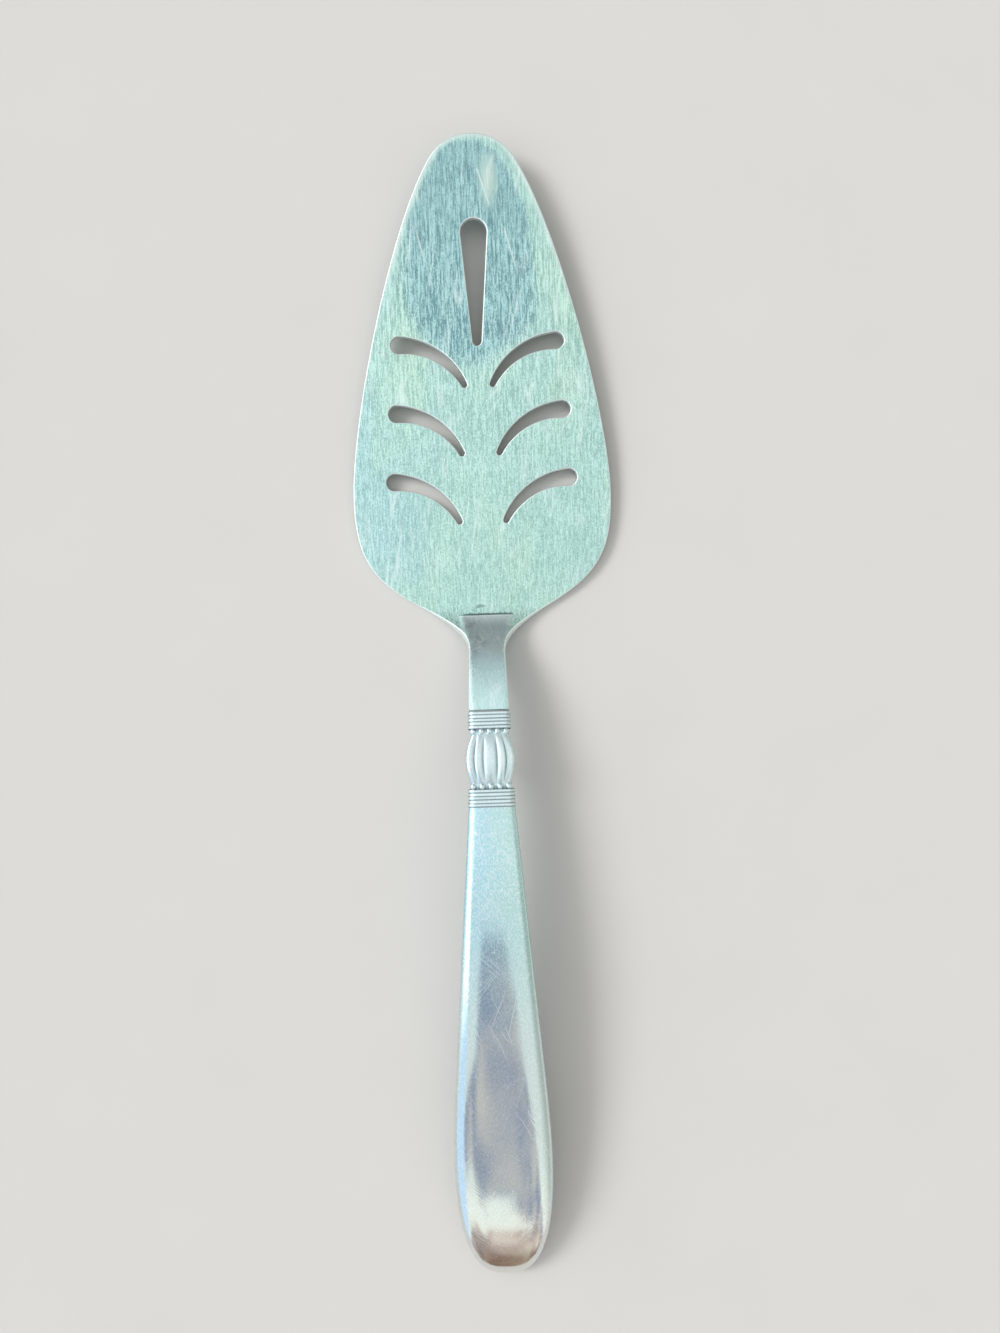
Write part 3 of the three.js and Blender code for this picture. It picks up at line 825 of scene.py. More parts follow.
class Bench:
    """Small steps of modelling that several pieces share, in millimetres."""

    CUT_REACH = 1e-5
    MERGE_REACH = 1e-3

    @staticmethod
    def clear() -> None:
        """Leaves edit mode and deselects everything."""
        if bpy.context.object and bpy.context.object.mode != "OBJECT":
            bpy.ops.object.mode_set(mode="OBJECT")
        bpy.ops.object.select_all(action="DESELECT")

    @staticmethod
    def hold(piece: bpy.types.Object) -> None:
        """Selects one object alone and makes it active.

        Args:
            piece: The object.
        """
        Bench.clear()
        piece.select_set(True)
        bpy.context.view_layer.objects.active = piece

    @staticmethod
    def points(piece: bpy.types.Object) -> np.ndarray:
        """The places of an object's vertices.

        Args:
            piece: The object.

        Returns:
            The places, one row each.
        """
        flat = np.empty(3 * len(piece.data.vertices))
        piece.data.vertices.foreach_get("co", flat)
        return flat.reshape(-1, 3)

    @staticmethod
    def move(piece: bpy.types.Object, points: np.ndarray) -> None:
        """Moves an object's vertices to new places."""
        piece.data.vertices.foreach_set("co", points.ravel())
        piece.data.update()

    @staticmethod
    def note(piece: bpy.types.Object, name: str, values: np.ndarray) -> None:
        """Keeps a value for each vertex under a name that a finish can read."""
        trait = piece.data.attributes.new(name, "FLOAT", "POINT")
        trait.data.foreach_set("value", values.astype(np.float32))

    @staticmethod
    def cut(piece: bpy.types.Object, axis: Axis, spots: np.ndarray, ahead: float, behind: float) -> None:
        """Cuts the faces of a flat blank with planes across one direction.

        Args:
            piece: The blank, which is in edit mode.
            axis: The direction that the planes face.
            spots: Where the planes stand along that direction.
            ahead: Only faces whose middle is behind this place along Y are cut.
            behind: Only faces whose middle is ahead of this place along Y are cut.
        """
        for spot in spots:
            mesh = bmesh.from_edit_mesh(piece.data)
            for face in mesh.faces:
                face.select_set(behind < face.calc_center_median().y < ahead)
            mesh.select_flush_mode()
            bmesh.update_edit_mesh(piece.data)
            plane = tuple(spot * part for part in axis.value)
            bpy.ops.mesh.bisect(plane_co=plane, plane_no=axis.value, threshold=Bench.CUT_REACH)

    @staticmethod
    def trim(piece: bpy.types.Object, spot: Triple, outward: Triple) -> None:
        """Cuts off what lies behind a plane and closes the cut.

        Args:
            piece: The object.
            spot: A place on the plane.
            outward: The direction of the side that stays.
        """
        Bench.hold(piece)
        bpy.ops.object.mode_set(mode="EDIT")
        bpy.ops.mesh.select_all(action="SELECT")
        bpy.ops.mesh.bisect(
            plane_co=spot,
            plane_no=outward,
            use_fill=True,
            clear_inner=True,
            threshold=Bench.CUT_REACH,
        )
        bpy.ops.object.mode_set(mode="OBJECT")

    @staticmethod
    def merge(piece: bpy.types.Object) -> None:
        """Merges vertices that share a place.

        Args:
            piece: The object that they belong to.
        """
        Bench.hold(piece)
        bpy.ops.object.mode_set(mode="EDIT")
        bpy.ops.mesh.select_all(action="SELECT")
        bpy.ops.mesh.remove_doubles(threshold=Bench.MERGE_REACH)
        bpy.ops.object.mode_set(mode="OBJECT")

    @staticmethod
    def settle(piece: bpy.types.Object, finish: bpy.types.Material, node: str, slot: str) -> None:
        """Dresses a finished piece and lets it stand for its CAD node.

        Args:
            piece: The finished piece.
            finish: Its material.
            node: The CAD node that it replaces.
            slot: The record's material slot, which is not used.
        """
        piece.data.materials.clear()
        piece.data.materials.append(finish)
        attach(piece, "root")
        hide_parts(node)


def eased(values: np.ndarray, low: float, high: float) -> np.ndarray:
    """A smooth step from 0 at low to 1 at high."""
    share = np.clip((values - low) / (high - low), 0.0, 1.0)
    return share * share * (3.0 - 2.0 * share)


def ridge(values: np.ndarray, middle: float, width: float) -> np.ndarray:
    """A soft ridge, 1 at its middle and falling off over its width."""
    return np.exp(-(((values - middle) / width) ** 2))


def bezier(
    start: np.ndarray, leave: np.ndarray, arrive: np.ndarray, end: np.ndarray, count: int
) -> np.ndarray:
    """Points on a cubic curve, without its first.

    Args:
        start: First point.
        leave: Handle of the first point.
        arrive: Handle of the last point.
        end: Last point.
        count: How many points.

    Returns:
        The points, one row each.
    """
    t = np.linspace(0.0, 1.0, count + 1)[1:, None]
    return (1 - t) ** 3 * start + 3 * (1 - t) ** 2 * t * leave + 3 * (1 - t) * t**2 * arrive + t**3 * end


@dataclass(frozen=True)
class RestPose:
    """How the server lies on the table, on its heel and its butt, in millimetres and degrees."""

    tilt: float = 3.09066
    heel_ahead: float = 24.9882
    lift: float = 0.03

    def lay(self, points: np.ndarray) -> np.ndarray:
        """Lays the level server down.

        Args:
            points: Places on the level server, in millimetres.

        Returns:
            The places at rest, in metres.
        """
        sine, cosine = math.sin(math.radians(self.tilt)), math.cos(math.radians(self.tilt))
        y = points[:, 1] * cosine - points[:, 2] * sine + self.heel_ahead
        z = points[:, 1] * sine + points[:, 2] * cosine + self.lift
        return np.column_stack([points[:, 0], y, z]) / MILLIMETRES_PER_METRE


@dataclass(frozen=True)
class CentreLine:
    """Side line of the server in millimetres: arcs that follow one another back from the heel."""

    sheet: float = 1.5
    heel_bend_radius: float = 12.0
    neck_rise: float = 38.0
    neck_arc_radius: float = 41.2
    mouth_rise: float = 11.0
    handle_length: float = 128.8
    handle_arch_radius: float = 315.0
    samples: int = 4000

    @property
    def arcs(self) -> list[tuple[float, float]]:
        """Length and curvature of each arc."""
        neck_turn = math.radians(self.neck_rise - self.mouth_rise)
        return [
            (self.heel_bend_radius * math.radians(self.neck_rise), 1.0 / self.heel_bend_radius),
            (self.neck_arc_radius * neck_turn, -1.0 / self.neck_arc_radius),
            (self.handle_length, -1.0 / self.handle_arch_radius),
        ]

    @property
    def mouth(self) -> float:
        """Distance of the handle's mouth behind the heel, along the line."""
        return self.arcs[0][0] + self.arcs[1][0]

    def place(self, distance: np.ndarray, x: np.ndarray, above: np.ndarray) -> np.ndarray:
        """Places above the line.

        Args:
            distance: Distance behind the heel along the line, or ahead of it when negative.
            x: Place across the server.
            above: Height above the line.

        Returns:
            The places on the level server, one row each.
        """
        y = np.maximum(-distance, 0.0)
        z = np.full_like(distance, self.sheet / 2.0)
        slope = np.zeros_like(distance)
        left = np.maximum(distance, 0.0)
        for length, curvature in self.arcs:
            run = np.minimum(left, length)
            turned = slope + run * curvature
            y = y - (np.sin(turned) - np.sin(slope)) / curvature
            z = z - (np.cos(turned) - np.cos(slope)) / curvature
            slope = turned
            left = left - run
        return np.column_stack([x, y + above * np.sin(slope), z + above * np.cos(slope)])

    def behind(self, distance: np.ndarray) -> np.ndarray:
        """How far behind the heel a distance along the line lies, seen from above."""
        still = np.zeros_like(distance)
        return -self.place(distance, still, still)[:, 1]

    def distance(self, behind: np.ndarray) -> np.ndarray:
        """The distance along the line of places seen from above."""
        along = np.linspace(0.0, self.mouth + self.handle_length, self.samples)
        return np.where(behind > 0.0, np.interp(behind, self.behind(along), along), behind)


# Blade


@dataclass
class Blade:
    """The slotted blade with its neck and tang, in millimetres and degrees."""

    line: CentreLine
    pose: RestPose
    length: float = 103.3
    width: float = 58.3
    rim: float = 0.28
    nose_radius: float = 11.2
    nose_sweep: float = 58.0
    nose_pull: float = 18.0
    widest_ahead: float = 23.3
    widest_pull: float = 16.0
    corner_pull: float = 13.0
    heel_behind: float = 1.5
    heel_width: float = 29.8
    heel_angle: float = 60.0
    heel_pull: float = 10.5
    waist_behind: float = 12.5
    waist_width: float = 8.0
    waist_pull: float = 3.8
    shoulder_width: float = 8.9
    tip_slot_from_tip: float = 18.55
    tip_slot_length: float = 28.0
    tip_slot_wide_radius: float = 2.95
    tip_slot_narrow_radius: float = 1.0
    leaf_rows: int = 3
    leaf_from_tip: float = 55.15
    leaf_pitch: float = 15.25
    leaf_inner_x: float = 3.2
    leaf_step_out: float = 1.05
    leaf_side_margin: float = 11.55
    leaf_sag: float = 2.4
    leaf_lean: float = 32.6
    leaf_inner_radius: float = 0.65
    leaf_outer_radius: float = 1.9
    neck_thickness: float = 3.6
    pad_behind: float = 4.1
    pad_width: float = 12.4
    pad_step: float = 0.35
    pad_front: Span = (-0.03, 0.12)
    pad_sides: Span = (-1.5, 0.5)
    crease_cuts: tuple[float, ...] = (
        -1.0, -0.8, -0.6, -0.45, -0.3, -0.2, -0.1, -0.03, 0.04, 0.12, 0.25, 0.5,
    )
    # The crease gets painted shade, with a fainter painted shadow ahead of it
    crease_ahead: float = 0.2
    crease_width: float = 0.27
    crease_shadow: float = 0.34
    crease_shadow_ahead: float = 0.62
    crease_shadow_width: float = 0.34
    crease_ends: Span = (-0.6, 1.0)
    # The lip behind the crease gets a painted highlight
    lip_behind: float = 0.2
    lip_width: float = 0.12
    lip_shine: float = 0.6
    polish_loss: float = 0.2
    polish_loss_ahead: float = 3.0
    polish_loss_behind: float = 5.0
    neck_step: float = 0.6
    strip_step: float = 0.5
    strip_reach: float = 7.0
    strips_behind: float = 2.4
    mouth_gap: float = 0.3
    tang_width: float = 5.0
    tang_thickness: float = 1.6
    tang_length: float = 38.0
    tang_step: float = 3.0
    slack: float = 0.01
    top_level: float = 0.5
    rim_rounds: int = 3
    nose_points: int = 40
    flank_points: int = 70
    corner_points: int = 60
    heel_points: int = 60
    slot_end_points: tuple[int, int] = (48, 24)
    leaf_points: int = 30
    leaf_end_points: tuple[int, int] = (20, 16)
    finish: BrushedSteel = field(default_factory=BrushedSteel)

    def build(self) -> bpy.types.Object:
        """The blade, modelled flat, bent to its side line and dressed.

        Returns:
            The finished piece, in place of the CAD node of the blade.
        """
        blade = self._flat_blank()
        self._mark_rims(blade)
        self._draw_tang(blade)
        self._cut_neck(blade)
        self._form(blade)
        Bench.settle(blade, self.finish.material(), "blade", "blade_steel")
        return blade

    @property
    def _neck_end(self) -> float:
        """Where the neck ends, seen from above, behind the heel."""
        return float(self.line.behind(np.array([self.line.mouth - self.mouth_gap]))[0])

    @property
    def _tang_end(self) -> float:
        """Where the tang ends, seen from above, behind the heel."""
        return float(self.line.behind(np.array([self.line.mouth + self.tang_length]))[0])

    def _side(self) -> np.ndarray:
        """Right side of the outline, from the tip to the end of the neck.

        Returns:
            The points, one row each.
        """
        sweep = math.radians(self.nose_sweep)
        angle = np.linspace(math.pi / 2, math.pi / 2 - sweep, self.nose_points)
        nose = np.column_stack([np.cos(angle), np.sin(angle)]) * self.nose_radius
        nose[:, 1] += self.length - self.nose_radius
        nose_end = nose[-1]
        onward = np.array([math.cos(sweep), -math.sin(sweep)]) * self.nose_pull
        back = np.array([0.0, -1.0])
        heel_angle = math.radians(self.heel_angle)
        inward = np.array([-math.sin(heel_angle), -math.cos(heel_angle)])
        widest = np.array([self.width / 2, self.widest_ahead])
        before_widest = widest - back * self.widest_pull
        after_widest = widest + back * self.corner_pull
        heel = np.array([self.heel_width / 2, -self.heel_behind])
        before_heel, after_heel = heel - inward * self.corner_pull, heel + inward * self.heel_pull
        waist = np.array([self.waist_width / 2, -self.waist_behind])
        shoulder = np.array([[self.shoulder_width / 2, -self._neck_end - 2 * self.rim]])
        return np.vstack(
            [
                nose,
                bezier(nose_end, nose_end + onward, before_widest, widest, self.flank_points),
                bezier(widest, after_widest, before_heel, heel, self.corner_points),
                bezier(heel, after_heel, waist - back * self.waist_pull, waist, self.heel_points),
                shoulder,
            ]
        )

    def _tip_slot(self) -> np.ndarray:
        """Outline of the slot behind the tip.

        Returns:
            The points, one row each.
        """
        wide, narrow = self.tip_slot_wide_radius, self.tip_slot_narrow_radius
        top = self.length - self.tip_slot_from_tip - wide
        bottom = self.length - self.tip_slot_from_tip - self.tip_slot_length + narrow
        lean = math.asin((wide - narrow) / (top - bottom))
        wide_points, narrow_points = self.slot_end_points
        upper = np.linspace(-lean, math.pi + lean, wide_points)
        lower = np.linspace(math.pi + lean, 2 * math.pi - lean, narrow_points)
        return np.vstack(
            [
                np.column_stack([wide * np.cos(upper), top + wide * np.sin(upper)]),
                np.column_stack([narrow * np.cos(lower), bottom + narrow * np.sin(lower)]),
            ]
        )

    def _leaf_slot(self, row: int, side: int) -> np.ndarray:
        """Outline of a leaf slot.

        Args:
            row: Row of the slot, counted from the tip.
            side: 1 on the right and -1 on the left.

        Returns:
            The outline's points, one row each.
        """
        lean = math.radians(self.leaf_lean)
        chord = (self.width / 2 - self.leaf_side_margin - self.leaf_inner_x) / math.cos(lean)
        radius = (chord**2 / 4 + self.leaf_sag**2) / (2 * self.leaf_sag)
        half = math.asin(chord / (2 * radius))
        centre = np.array([chord / 2, self.leaf_sag - radius])
        share = np.linspace(0.0, 1.0, self.leaf_points)
        angle = math.pi / 2 + half * (1 - 2 * share)
        way = np.column_stack([np.cos(angle), np.sin(angle)])
        half_width = self.leaf_inner_radius + (self.leaf_outer_radius - self.leaf_inner_radius) * share
        upper = centre + way * (radius + half_width)[:, None]
        lower = centre + way * (radius - half_width)[:, None]
        spine = centre + way * radius
        outer_points, inner_points = self.leaf_end_points
        outer_turn = angle[-1] - np.linspace(0.0, math.pi, outer_points)[1:-1]
        inner_turn = angle[0] + math.pi - np.linspace(0.0, math.pi, inner_points)[1:-1]
        outer_way = np.column_stack([np.cos(outer_turn), np.sin(outer_turn)])
        inner_way = np.column_stack([np.cos(inner_turn), np.sin(inner_turn)])
        outer = spine[-1] + self.leaf_outer_radius * outer_way
        inner = spine[0] + self.leaf_inner_radius * inner_way
        points = np.vstack([upper, outer, lower[::-1], inner])
        turn = np.array([[math.cos(lean), math.sin(lean)], [-math.sin(lean), math.cos(lean)]])
        start = np.array(
            [
                self.leaf_inner_x + row * self.leaf_step_out,
                self.length - self.leaf_from_tip - row * self.leaf_pitch,
            ]
        )
        return (points @ turn + start) * np.array([side, 1.0])

    def _flat_blank(self) -> bpy.types.Object:
        """The blade and neck as one flat sheet with rounded rims round its edge and slots.

        Returns:
            The blank, cut off square at the end of the neck.
        """
        right = self._side()
        loops = [np.vstack([right, (right * [-1.0, 1.0])[:0:-1]]), self._tip_slot()]
        loops += [self._leaf_slot(row, side) for row in range(self.leaf_rows) for side in (1, -1)]
        Bench.clear()
        bpy.ops.curve.primitive_bezier_circle_add()
        blank = bpy.context.object
        blank.name = "slotted_blade"
        drawing = blank.data
        drawing.splines.clear()
        drawing.dimensions = "2D"
        drawing.fill_mode = "BOTH"
        drawing.bevel_depth = self.rim
        drawing.bevel_resolution = self.rim_rounds
        drawing.extrude = self.line.sheet / 2 - self.rim
        drawing.offset = -self.rim
        for loop in loops:
            spline = drawing.splines.new("POLY")
            spline.points.add(len(loop) - 1)
            rows = np.column_stack([loop, np.zeros(len(loop)), np.ones(len(loop))])
            spline.points.foreach_set("co", rows.ravel())
            spline.use_cyclic_u = True
        bpy.ops.object.convert(target="MESH")
        blank = bpy.context.object
        Bench.merge(blank)
        Bench.trim(blank, (0.0, -self._neck_end, 0.0), Axis.ALONG.value)
        return blank

    def _mark_rims(self, blade: bpy.types.Object) -> None:
        """Shades the rims as rounds and keeps the two faces of the sheet flat up to them.

        Args:
            blade: The flat blank.
        """
        Bench.hold(blade)
        bpy.ops.object.shade_smooth()
        bpy.ops.object.mode_set(mode="EDIT")
        mesh = bmesh.from_edit_mesh(blade.data)
        for edge in mesh.edges:
            level = [abs(face.normal.z) > SQUARE for face in edge.link_faces]
            edge.select_set(any(level) and not all(level))
        bmesh.update_edit_mesh(blade.data)
        bpy.ops.mesh.mark_sharp()
        bpy.ops.object.mode_set(mode="OBJECT")

    def _draw_tang(self, blade: bpy.types.Object) -> None:
        """Draws the tang out of the end of the neck, still flat.

        Args:
            blade: The flat blank.
        """
        neck_end = self._neck_end
        Bench.hold(blade)
        bpy.ops.object.mode_set(mode="EDIT")
        bpy.ops.mesh.select_mode(type="FACE")
        mesh = bmesh.from_edit_mesh(blade.data)
        for face in mesh.faces:
            at_end = face.calc_center_median().y < self.slack - neck_end
            face.select_set(face.normal.y < -SQUARE and at_end)
        bmesh.update_edit_mesh(blade.data)
        wide = self.tang_width / self.shoulder_width
        thick = self.tang_thickness / self.neck_thickness
        middle = (0.0, -neck_end, 0.0)
        back = (0.0, neck_end - self._tang_end, 0.0)
        bpy.ops.mesh.extrude_region_move()
        bpy.ops.transform.resize(value=(wide, 1.0, thick), center_override=middle)
        bpy.ops.mesh.extrude_region_move(TRANSFORM_OT_translate={"value": back})
        bpy.ops.object.mode_set(mode="OBJECT")

    def _cut_neck(self, blade: bpy.types.Object) -> None:
        """Cuts the heel, neck and tang into short stretches, finest at the crease before the pad.

        Args:
            blade: The flat blank with its tang.
        """
        neck_end, tang_end = self._neck_end, self._tang_end
        crease = self.line.behind(self.pad_behind + np.array(self.crease_cuts))
        neck_cuts = -np.concatenate([np.arange(0.0, neck_end, self.neck_step), crease])
        tang_cuts = -np.arange(neck_end + self.tang_step, tang_end, self.tang_step)
        strips = np.arange(-self.strip_reach, self.strip_reach + self.slack, self.strip_step)
        Bench.hold(blade)
        bpy.ops.object.mode_set(mode="EDIT")
        bpy.ops.mesh.select_mode(type="FACE")
        Bench.cut(blade, Axis.ALONG, neck_cuts, self.length, -neck_end)
        Bench.cut(blade, Axis.ALONG, tang_cuts, -neck_end, -tang_end)
        Bench.cut(blade, Axis.ACROSS, strips, -self.strips_behind, -neck_end)
        bpy.ops.object.mode_set(mode="OBJECT")

    def _form(self, blade: bpy.types.Object) -> None:
        """Bends the blank to the side line, thickens the neck, raises the pad and lays the blade down.

        Args:
            blade: The flat blank with its tang, cut into stretches.
        """
        points = Bench.points(blade)
        x, behind = points[:, 0], -points[:, 1]
        level = points[:, 2] / (self.line.sheet / 2)
        distance = self.line.distance(behind)
        neck_length = self.line.mouth - self.mouth_gap
        grown = eased(distance, 0.0, neck_length)
        half = (self.line.sheet + (self.neck_thickness - self.line.sheet) * grown) / 2
        beyond = np.abs(x) - self._pad_half(behind)
        front = eased(distance, *(self.pad_behind + part for part in self.pad_front))
        pad = front * (1.0 - eased(beyond, *self.pad_sides)) * (distance < neck_length + self.slack)
        above = level * half + pad * self.pad_step * np.clip(level, 0.0, 1.0)
        self._note_polish_and_painted_light(blade, behind, distance, level, beyond, pad)
        Bench.move(blade, self.pose.lay(self.line.place(distance, x, above)))

    def _pad_half(self, behind: np.ndarray) -> np.ndarray:
        """Half the width of the raised pad, which narrows to the waist of the neck."""
        narrowed = eased(behind, self.pad_behind, self.waist_behind)
        return (self.pad_width + (self.shoulder_width - self.pad_width) * narrowed) / 2

    def _note_polish_and_painted_light(
        self,
        blade: bpy.types.Object,
        behind: np.ndarray,
        distance: np.ndarray,
        level: np.ndarray,
        beyond: np.ndarray,
        pad: np.ndarray,
    ) -> None:
        """Notes on the vertices where the blade is polished, where its crease gets painted shade, and
        where its burnished rims and the lip behind the crease get a painted highlight, for its finish.

        Args:
            blade: The flat blank.
            behind: How far behind the heel a vertex lies, seen from above.
            distance: The same along the side line.
            level: Its place in the sheet, from -1 underneath to 1 on top.
            beyond: How far outside the sides of the pad it is.
            pad: How much of the pad's step it has.
        """
        on_top = level > self.top_level
        before = 1.0 - eased(beyond, *self.crease_ends)
        # Painted shade along the crease, with a fainter painted shadow ahead of it
        ahead = self.pad_behind - distance
        shadow = self.crease_shadow * ridge(ahead, self.crease_shadow_ahead, self.crease_shadow_width)
        crease = ridge(ahead, self.crease_ahead, self.crease_width) + shadow
        # The lip's painted highlight joins the rims' burnish and painted highlight in the rim trait
        lip = ridge(distance - self.pad_behind, self.lip_behind, self.lip_width) * before
        fade_start = self.waist_behind - self.polish_loss_ahead
        fade_end = self.waist_behind + self.polish_loss_behind
        faded = 1.0 - self.polish_loss * eased(behind, fade_start, fade_end)
        Bench.note(blade, "polish", pad * faded * (level > -self.top_level))
        Bench.note(blade, "crease", np.minimum(crease * before, 1.0) * on_top)
        Bench.note(blade, "rim", np.maximum(np.abs(level) < SQUARE, self.lip_shine * lip * on_top))


# Handle


@dataclass
class HandleShell:
    """One soldered half of the hollow handle, in millimetres and degrees."""

    line: CentreLine
    pose: RestPose
    half: Half
    mouth_width: float = 9.0
    grip_start_width: float = 10.1
    grip_taper: float = 4.66
    collar_height: float = 5.2
    height_taper: float = 1.0
    butt_round_length: float = 50.0
    butt_round_power: float = 2.45
    butt_crown_length: float = 26.0
    butt_crown_power: float = 2.2
    mouth_squareness: float = 5.0
    butt_squareness: float = 2.9
    wall: float = 0.8
    mouth_wall: float = 1.2
    knop_length: float = 10.8
    knop_inset: float = 0.55
    knop_bulge: float = 1.65
    knop_height_share: float = 0.6
    lobe_depth: float = 0.5
    lobe_inner_edge: float = 0.28
    lobe_outer_edge: float = 0.645
    lobe_end_power: int = 4
    beads_per_row: int = 5
    bead_from_knop: float = 5.86
    bead_radius: float = 0.75
    bead_spread: float = 0.87
    rings_per_side: int = 3
    ring_from_knop: float = 6.83
    ring_pitch: float = 1.5
    ring_width: float = 0.75
    ring_crown: float = 0.4
    ring_height: float = 0.16
    mouth_lip: float = 0.08
    seam_gap: float = 0.3
    tang_room_width: float = 5.2
    tang_room_height: float = 1.8
    tang_room_rows: int = 2
    tang_room_corner: float = 4.0
    least_room: float = 0.25
    side_share: float = 0.35
    around: int = 112
    ornament_rows: int = 196
    grip_rows: int = 50
    butt_rows: int = 52
    step_half: float = 0.015
    past_rings: float = 0.3
    bead_segments: int = 24
    bead_rings: int = 16
    bead_foot: float = 0.6
    bead_shade: float = 0.7
    bead_shade_from: float = 0.5
    valley_shade: float = 0.85
    shelf_shade: float = 0.8
    shelf_fade: float = 0.3
    ring_foot: float = 0.1
    crest_shine: float = 0.7
    smooth_angle: float = 42.0
    finish: PolishedSteel = field(default_factory=PolishedSteel)

    def build(self) -> bpy.types.Object:
        """The shell, spread from a grid over its sections, hollowed, beaded and dressed.

        Returns:
            The finished piece, in place of its CAD node.
        """
        side = self.half.name.lower()
        shell = self._outer_skin(f"{side}_shell")
        self._hollow_out(shell)
        self._add_beads(shell)
        Bench.move(shell, self.pose.lay(Bench.points(shell)))
        Bench.hold(shell)
        bpy.ops.object.shade_smooth_by_angle(angle=math.radians(self.smooth_angle))
        finish = self.finish.material(f"{side}_shell_steel")
        Bench.settle(shell, finish, f"{side}_handle_shell", "handle_steel")
        return shell

    @property
    def _last_ring(self) -> float:
        """Distance of the outermost ring from the middle of the knop."""
        return self.ring_from_knop + (self.rings_per_side - 1) * self.ring_pitch

    @property
    def _knop_at(self) -> float:
        """Distance of the middle of the knop from the mouth."""
        return self.mouth_lip + self.ring_width / 2 + self._last_ring

    @property
    def _ornament_end(self) -> float:
        """Distance from the mouth at which the plain grip starts."""
        return self._knop_at + self._last_ring + self.ring_width / 2

    @property
    def _shelf_end(self) -> float:
        """Distance from the middle of the knop at which its rings start."""
        return self.ring_from_knop - self.ring_width / 2

    def _stations(self) -> np.ndarray:
        """Distances from the mouth at which the skin has a row of points, finest at the ornament.

        Returns:
            The distances, in order.
        """
        reach, half = self._shelf_end, self.step_half
        steps = self._knop_at + np.array([-reach - half, -reach + half, reach - half, reach + half])
        grip_start = self._ornament_end + self.past_rings
        grip_end = self.line.handle_length - self.butt_round_length
        fine = np.linspace(0.0, grip_start, self.ornament_rows)
        grip = np.linspace(grip_start, grip_end, self.grip_rows)
        butt = grip_end + self.butt_round_length * np.sin(np.linspace(0.0, math.pi / 2, self.butt_rows))
        return np.unique(np.round(np.concatenate([fine, steps, grip, butt]), 4))

    def _plain_size(self, s: np.ndarray, end: float) -> tuple[np.ndarray, np.ndarray]:
        """Half the width and height of the handle without its ornament.

        Args:
            s: Distance from the mouth.
            end: Distance at which the handle closes.

        Returns:
            Half the width and half the height.
        """
        grip = np.maximum(s - self._ornament_end, 0.0)
        collar = np.minimum(s / self._ornament_end, 1.0)
        width = (self.mouth_width + (self.grip_start_width - self.mouth_width) * collar) / 2
        width = width + grip * math.tan(math.radians(self.grip_taper))
        height = self.collar_height / 2 + grip * math.tan(math.radians(self.height_taper))
        return (
            width * self._rounded(s, end, self.butt_round_length, self.butt_round_power),
            height * self._rounded(s, end, self.butt_crown_length, self.butt_crown_power),
        )

    @staticmethod
    def _rounded(s: np.ndarray, end: float, length: float, power: float) -> np.ndarray:
        """The share of a size that is left where it is rounded off towards the butt."""
        into = np.clip((s - end + length) / length, 0.0, 1.0)
        return np.maximum(1.0 - into**power, 0.0) ** (1.0 / power)

    def _from_ring(self, from_knop: np.ndarray) -> np.ndarray:
        """Distance from the middle of the nearest ring, by the distance from the middle of the knop."""
        spots = self.ring_from_knop + np.arange(self.rings_per_side) * self.ring_pitch
        return np.min(np.abs(from_knop[..., None] - spots), axis=-1)

    def _ornament(self, s: np.ndarray) -> np.ndarray:
        """How far the knop and the rings stand out from the plain handle.

        Args:
            s: Distance from the mouth.

        Returns:
            The height above the plain handle.
        """
        from_knop = np.abs(s - self._knop_at)
        u = np.minimum(from_knop / (self.knop_length / 2), 1.0)
        knop = self.knop_bulge * (1.0 - u * u) - self.knop_inset
        slope = (self.ring_width - self.ring_crown) / 2
        into_ring = (self.ring_width / 2 - self._from_ring(from_knop)) / slope
        rings = self.ring_height * np.clip(into_ring, 0.0, 1.0)
        return np.where(from_knop < self._shelf_end, knop, rings)

    def _lobe_groove(self, s: np.ndarray, across: np.ndarray) -> np.ndarray:
        """Depth of the valleys between the lobes of the knop.

        Args:
            s: Distance from the mouth.
            across: Place across the handle, from 0 in the middle to 1 at the seam.

        Returns:
            The depth below the lobes.
        """
        u = np.minimum(np.abs(s - self._knop_at) / (self.knop_length / 2), 1.0)
        edges = np.array([-self.lobe_inner_edge, self.lobe_inner_edge, self.lobe_outer_edge, 1.0])
        right = np.clip(np.searchsorted(edges, across), 1, len(edges) - 1)
        within = (across - edges[right - 1]) / (edges[right] - edges[right - 1])
        return self.lobe_depth * (1.0 - u**self.lobe_end_power) * (2.0 * within - 1.0) ** 2

    def _section(self, s: np.ndarray, turn: np.ndarray) -> tuple[np.ndarray, np.ndarray, np.ndarray]:
        """Points on the sections of the handle.

        Args:
            s: Distance from the mouth.
            turn: Place round the half section, from 0 at the right rim to 1 at the left one.

        Returns:
            Place across, height above the seam, and the depth of the valleys between the lobes.
        """
        loss = self.butt_squareness - self.mouth_squareness
        squareness = self.mouth_squareness + loss * s / self.line.handle_length
        corner = 0.5 ** (1.0 / squareness)
        up = 1.0 - np.abs(2.0 * turn - 1.0)
        on_side = np.minimum(up / self.side_share, 1.0) * corner
        on_top = np.clip((1.0 - up) / (1.0 - self.side_share), 0.0, 1.0) * corner
        beside = up < self.side_share
        across = np.where(beside, (1.0 - on_side**squareness) ** (1.0 / squareness), on_top)
        rise = np.where(beside, on_side, (1.0 - on_top**squareness) ** (1.0 / squareness))
        width, height = self._plain_size(s, self.line.handle_length)
        stand, groove = self._ornament(s), self._lobe_groove(s, across)
        x = (width + stand - groove) * across * np.sign(0.5 - turn)
        above = (height + (stand - groove) * self.knop_height_share) * rise
        return x, above, groove

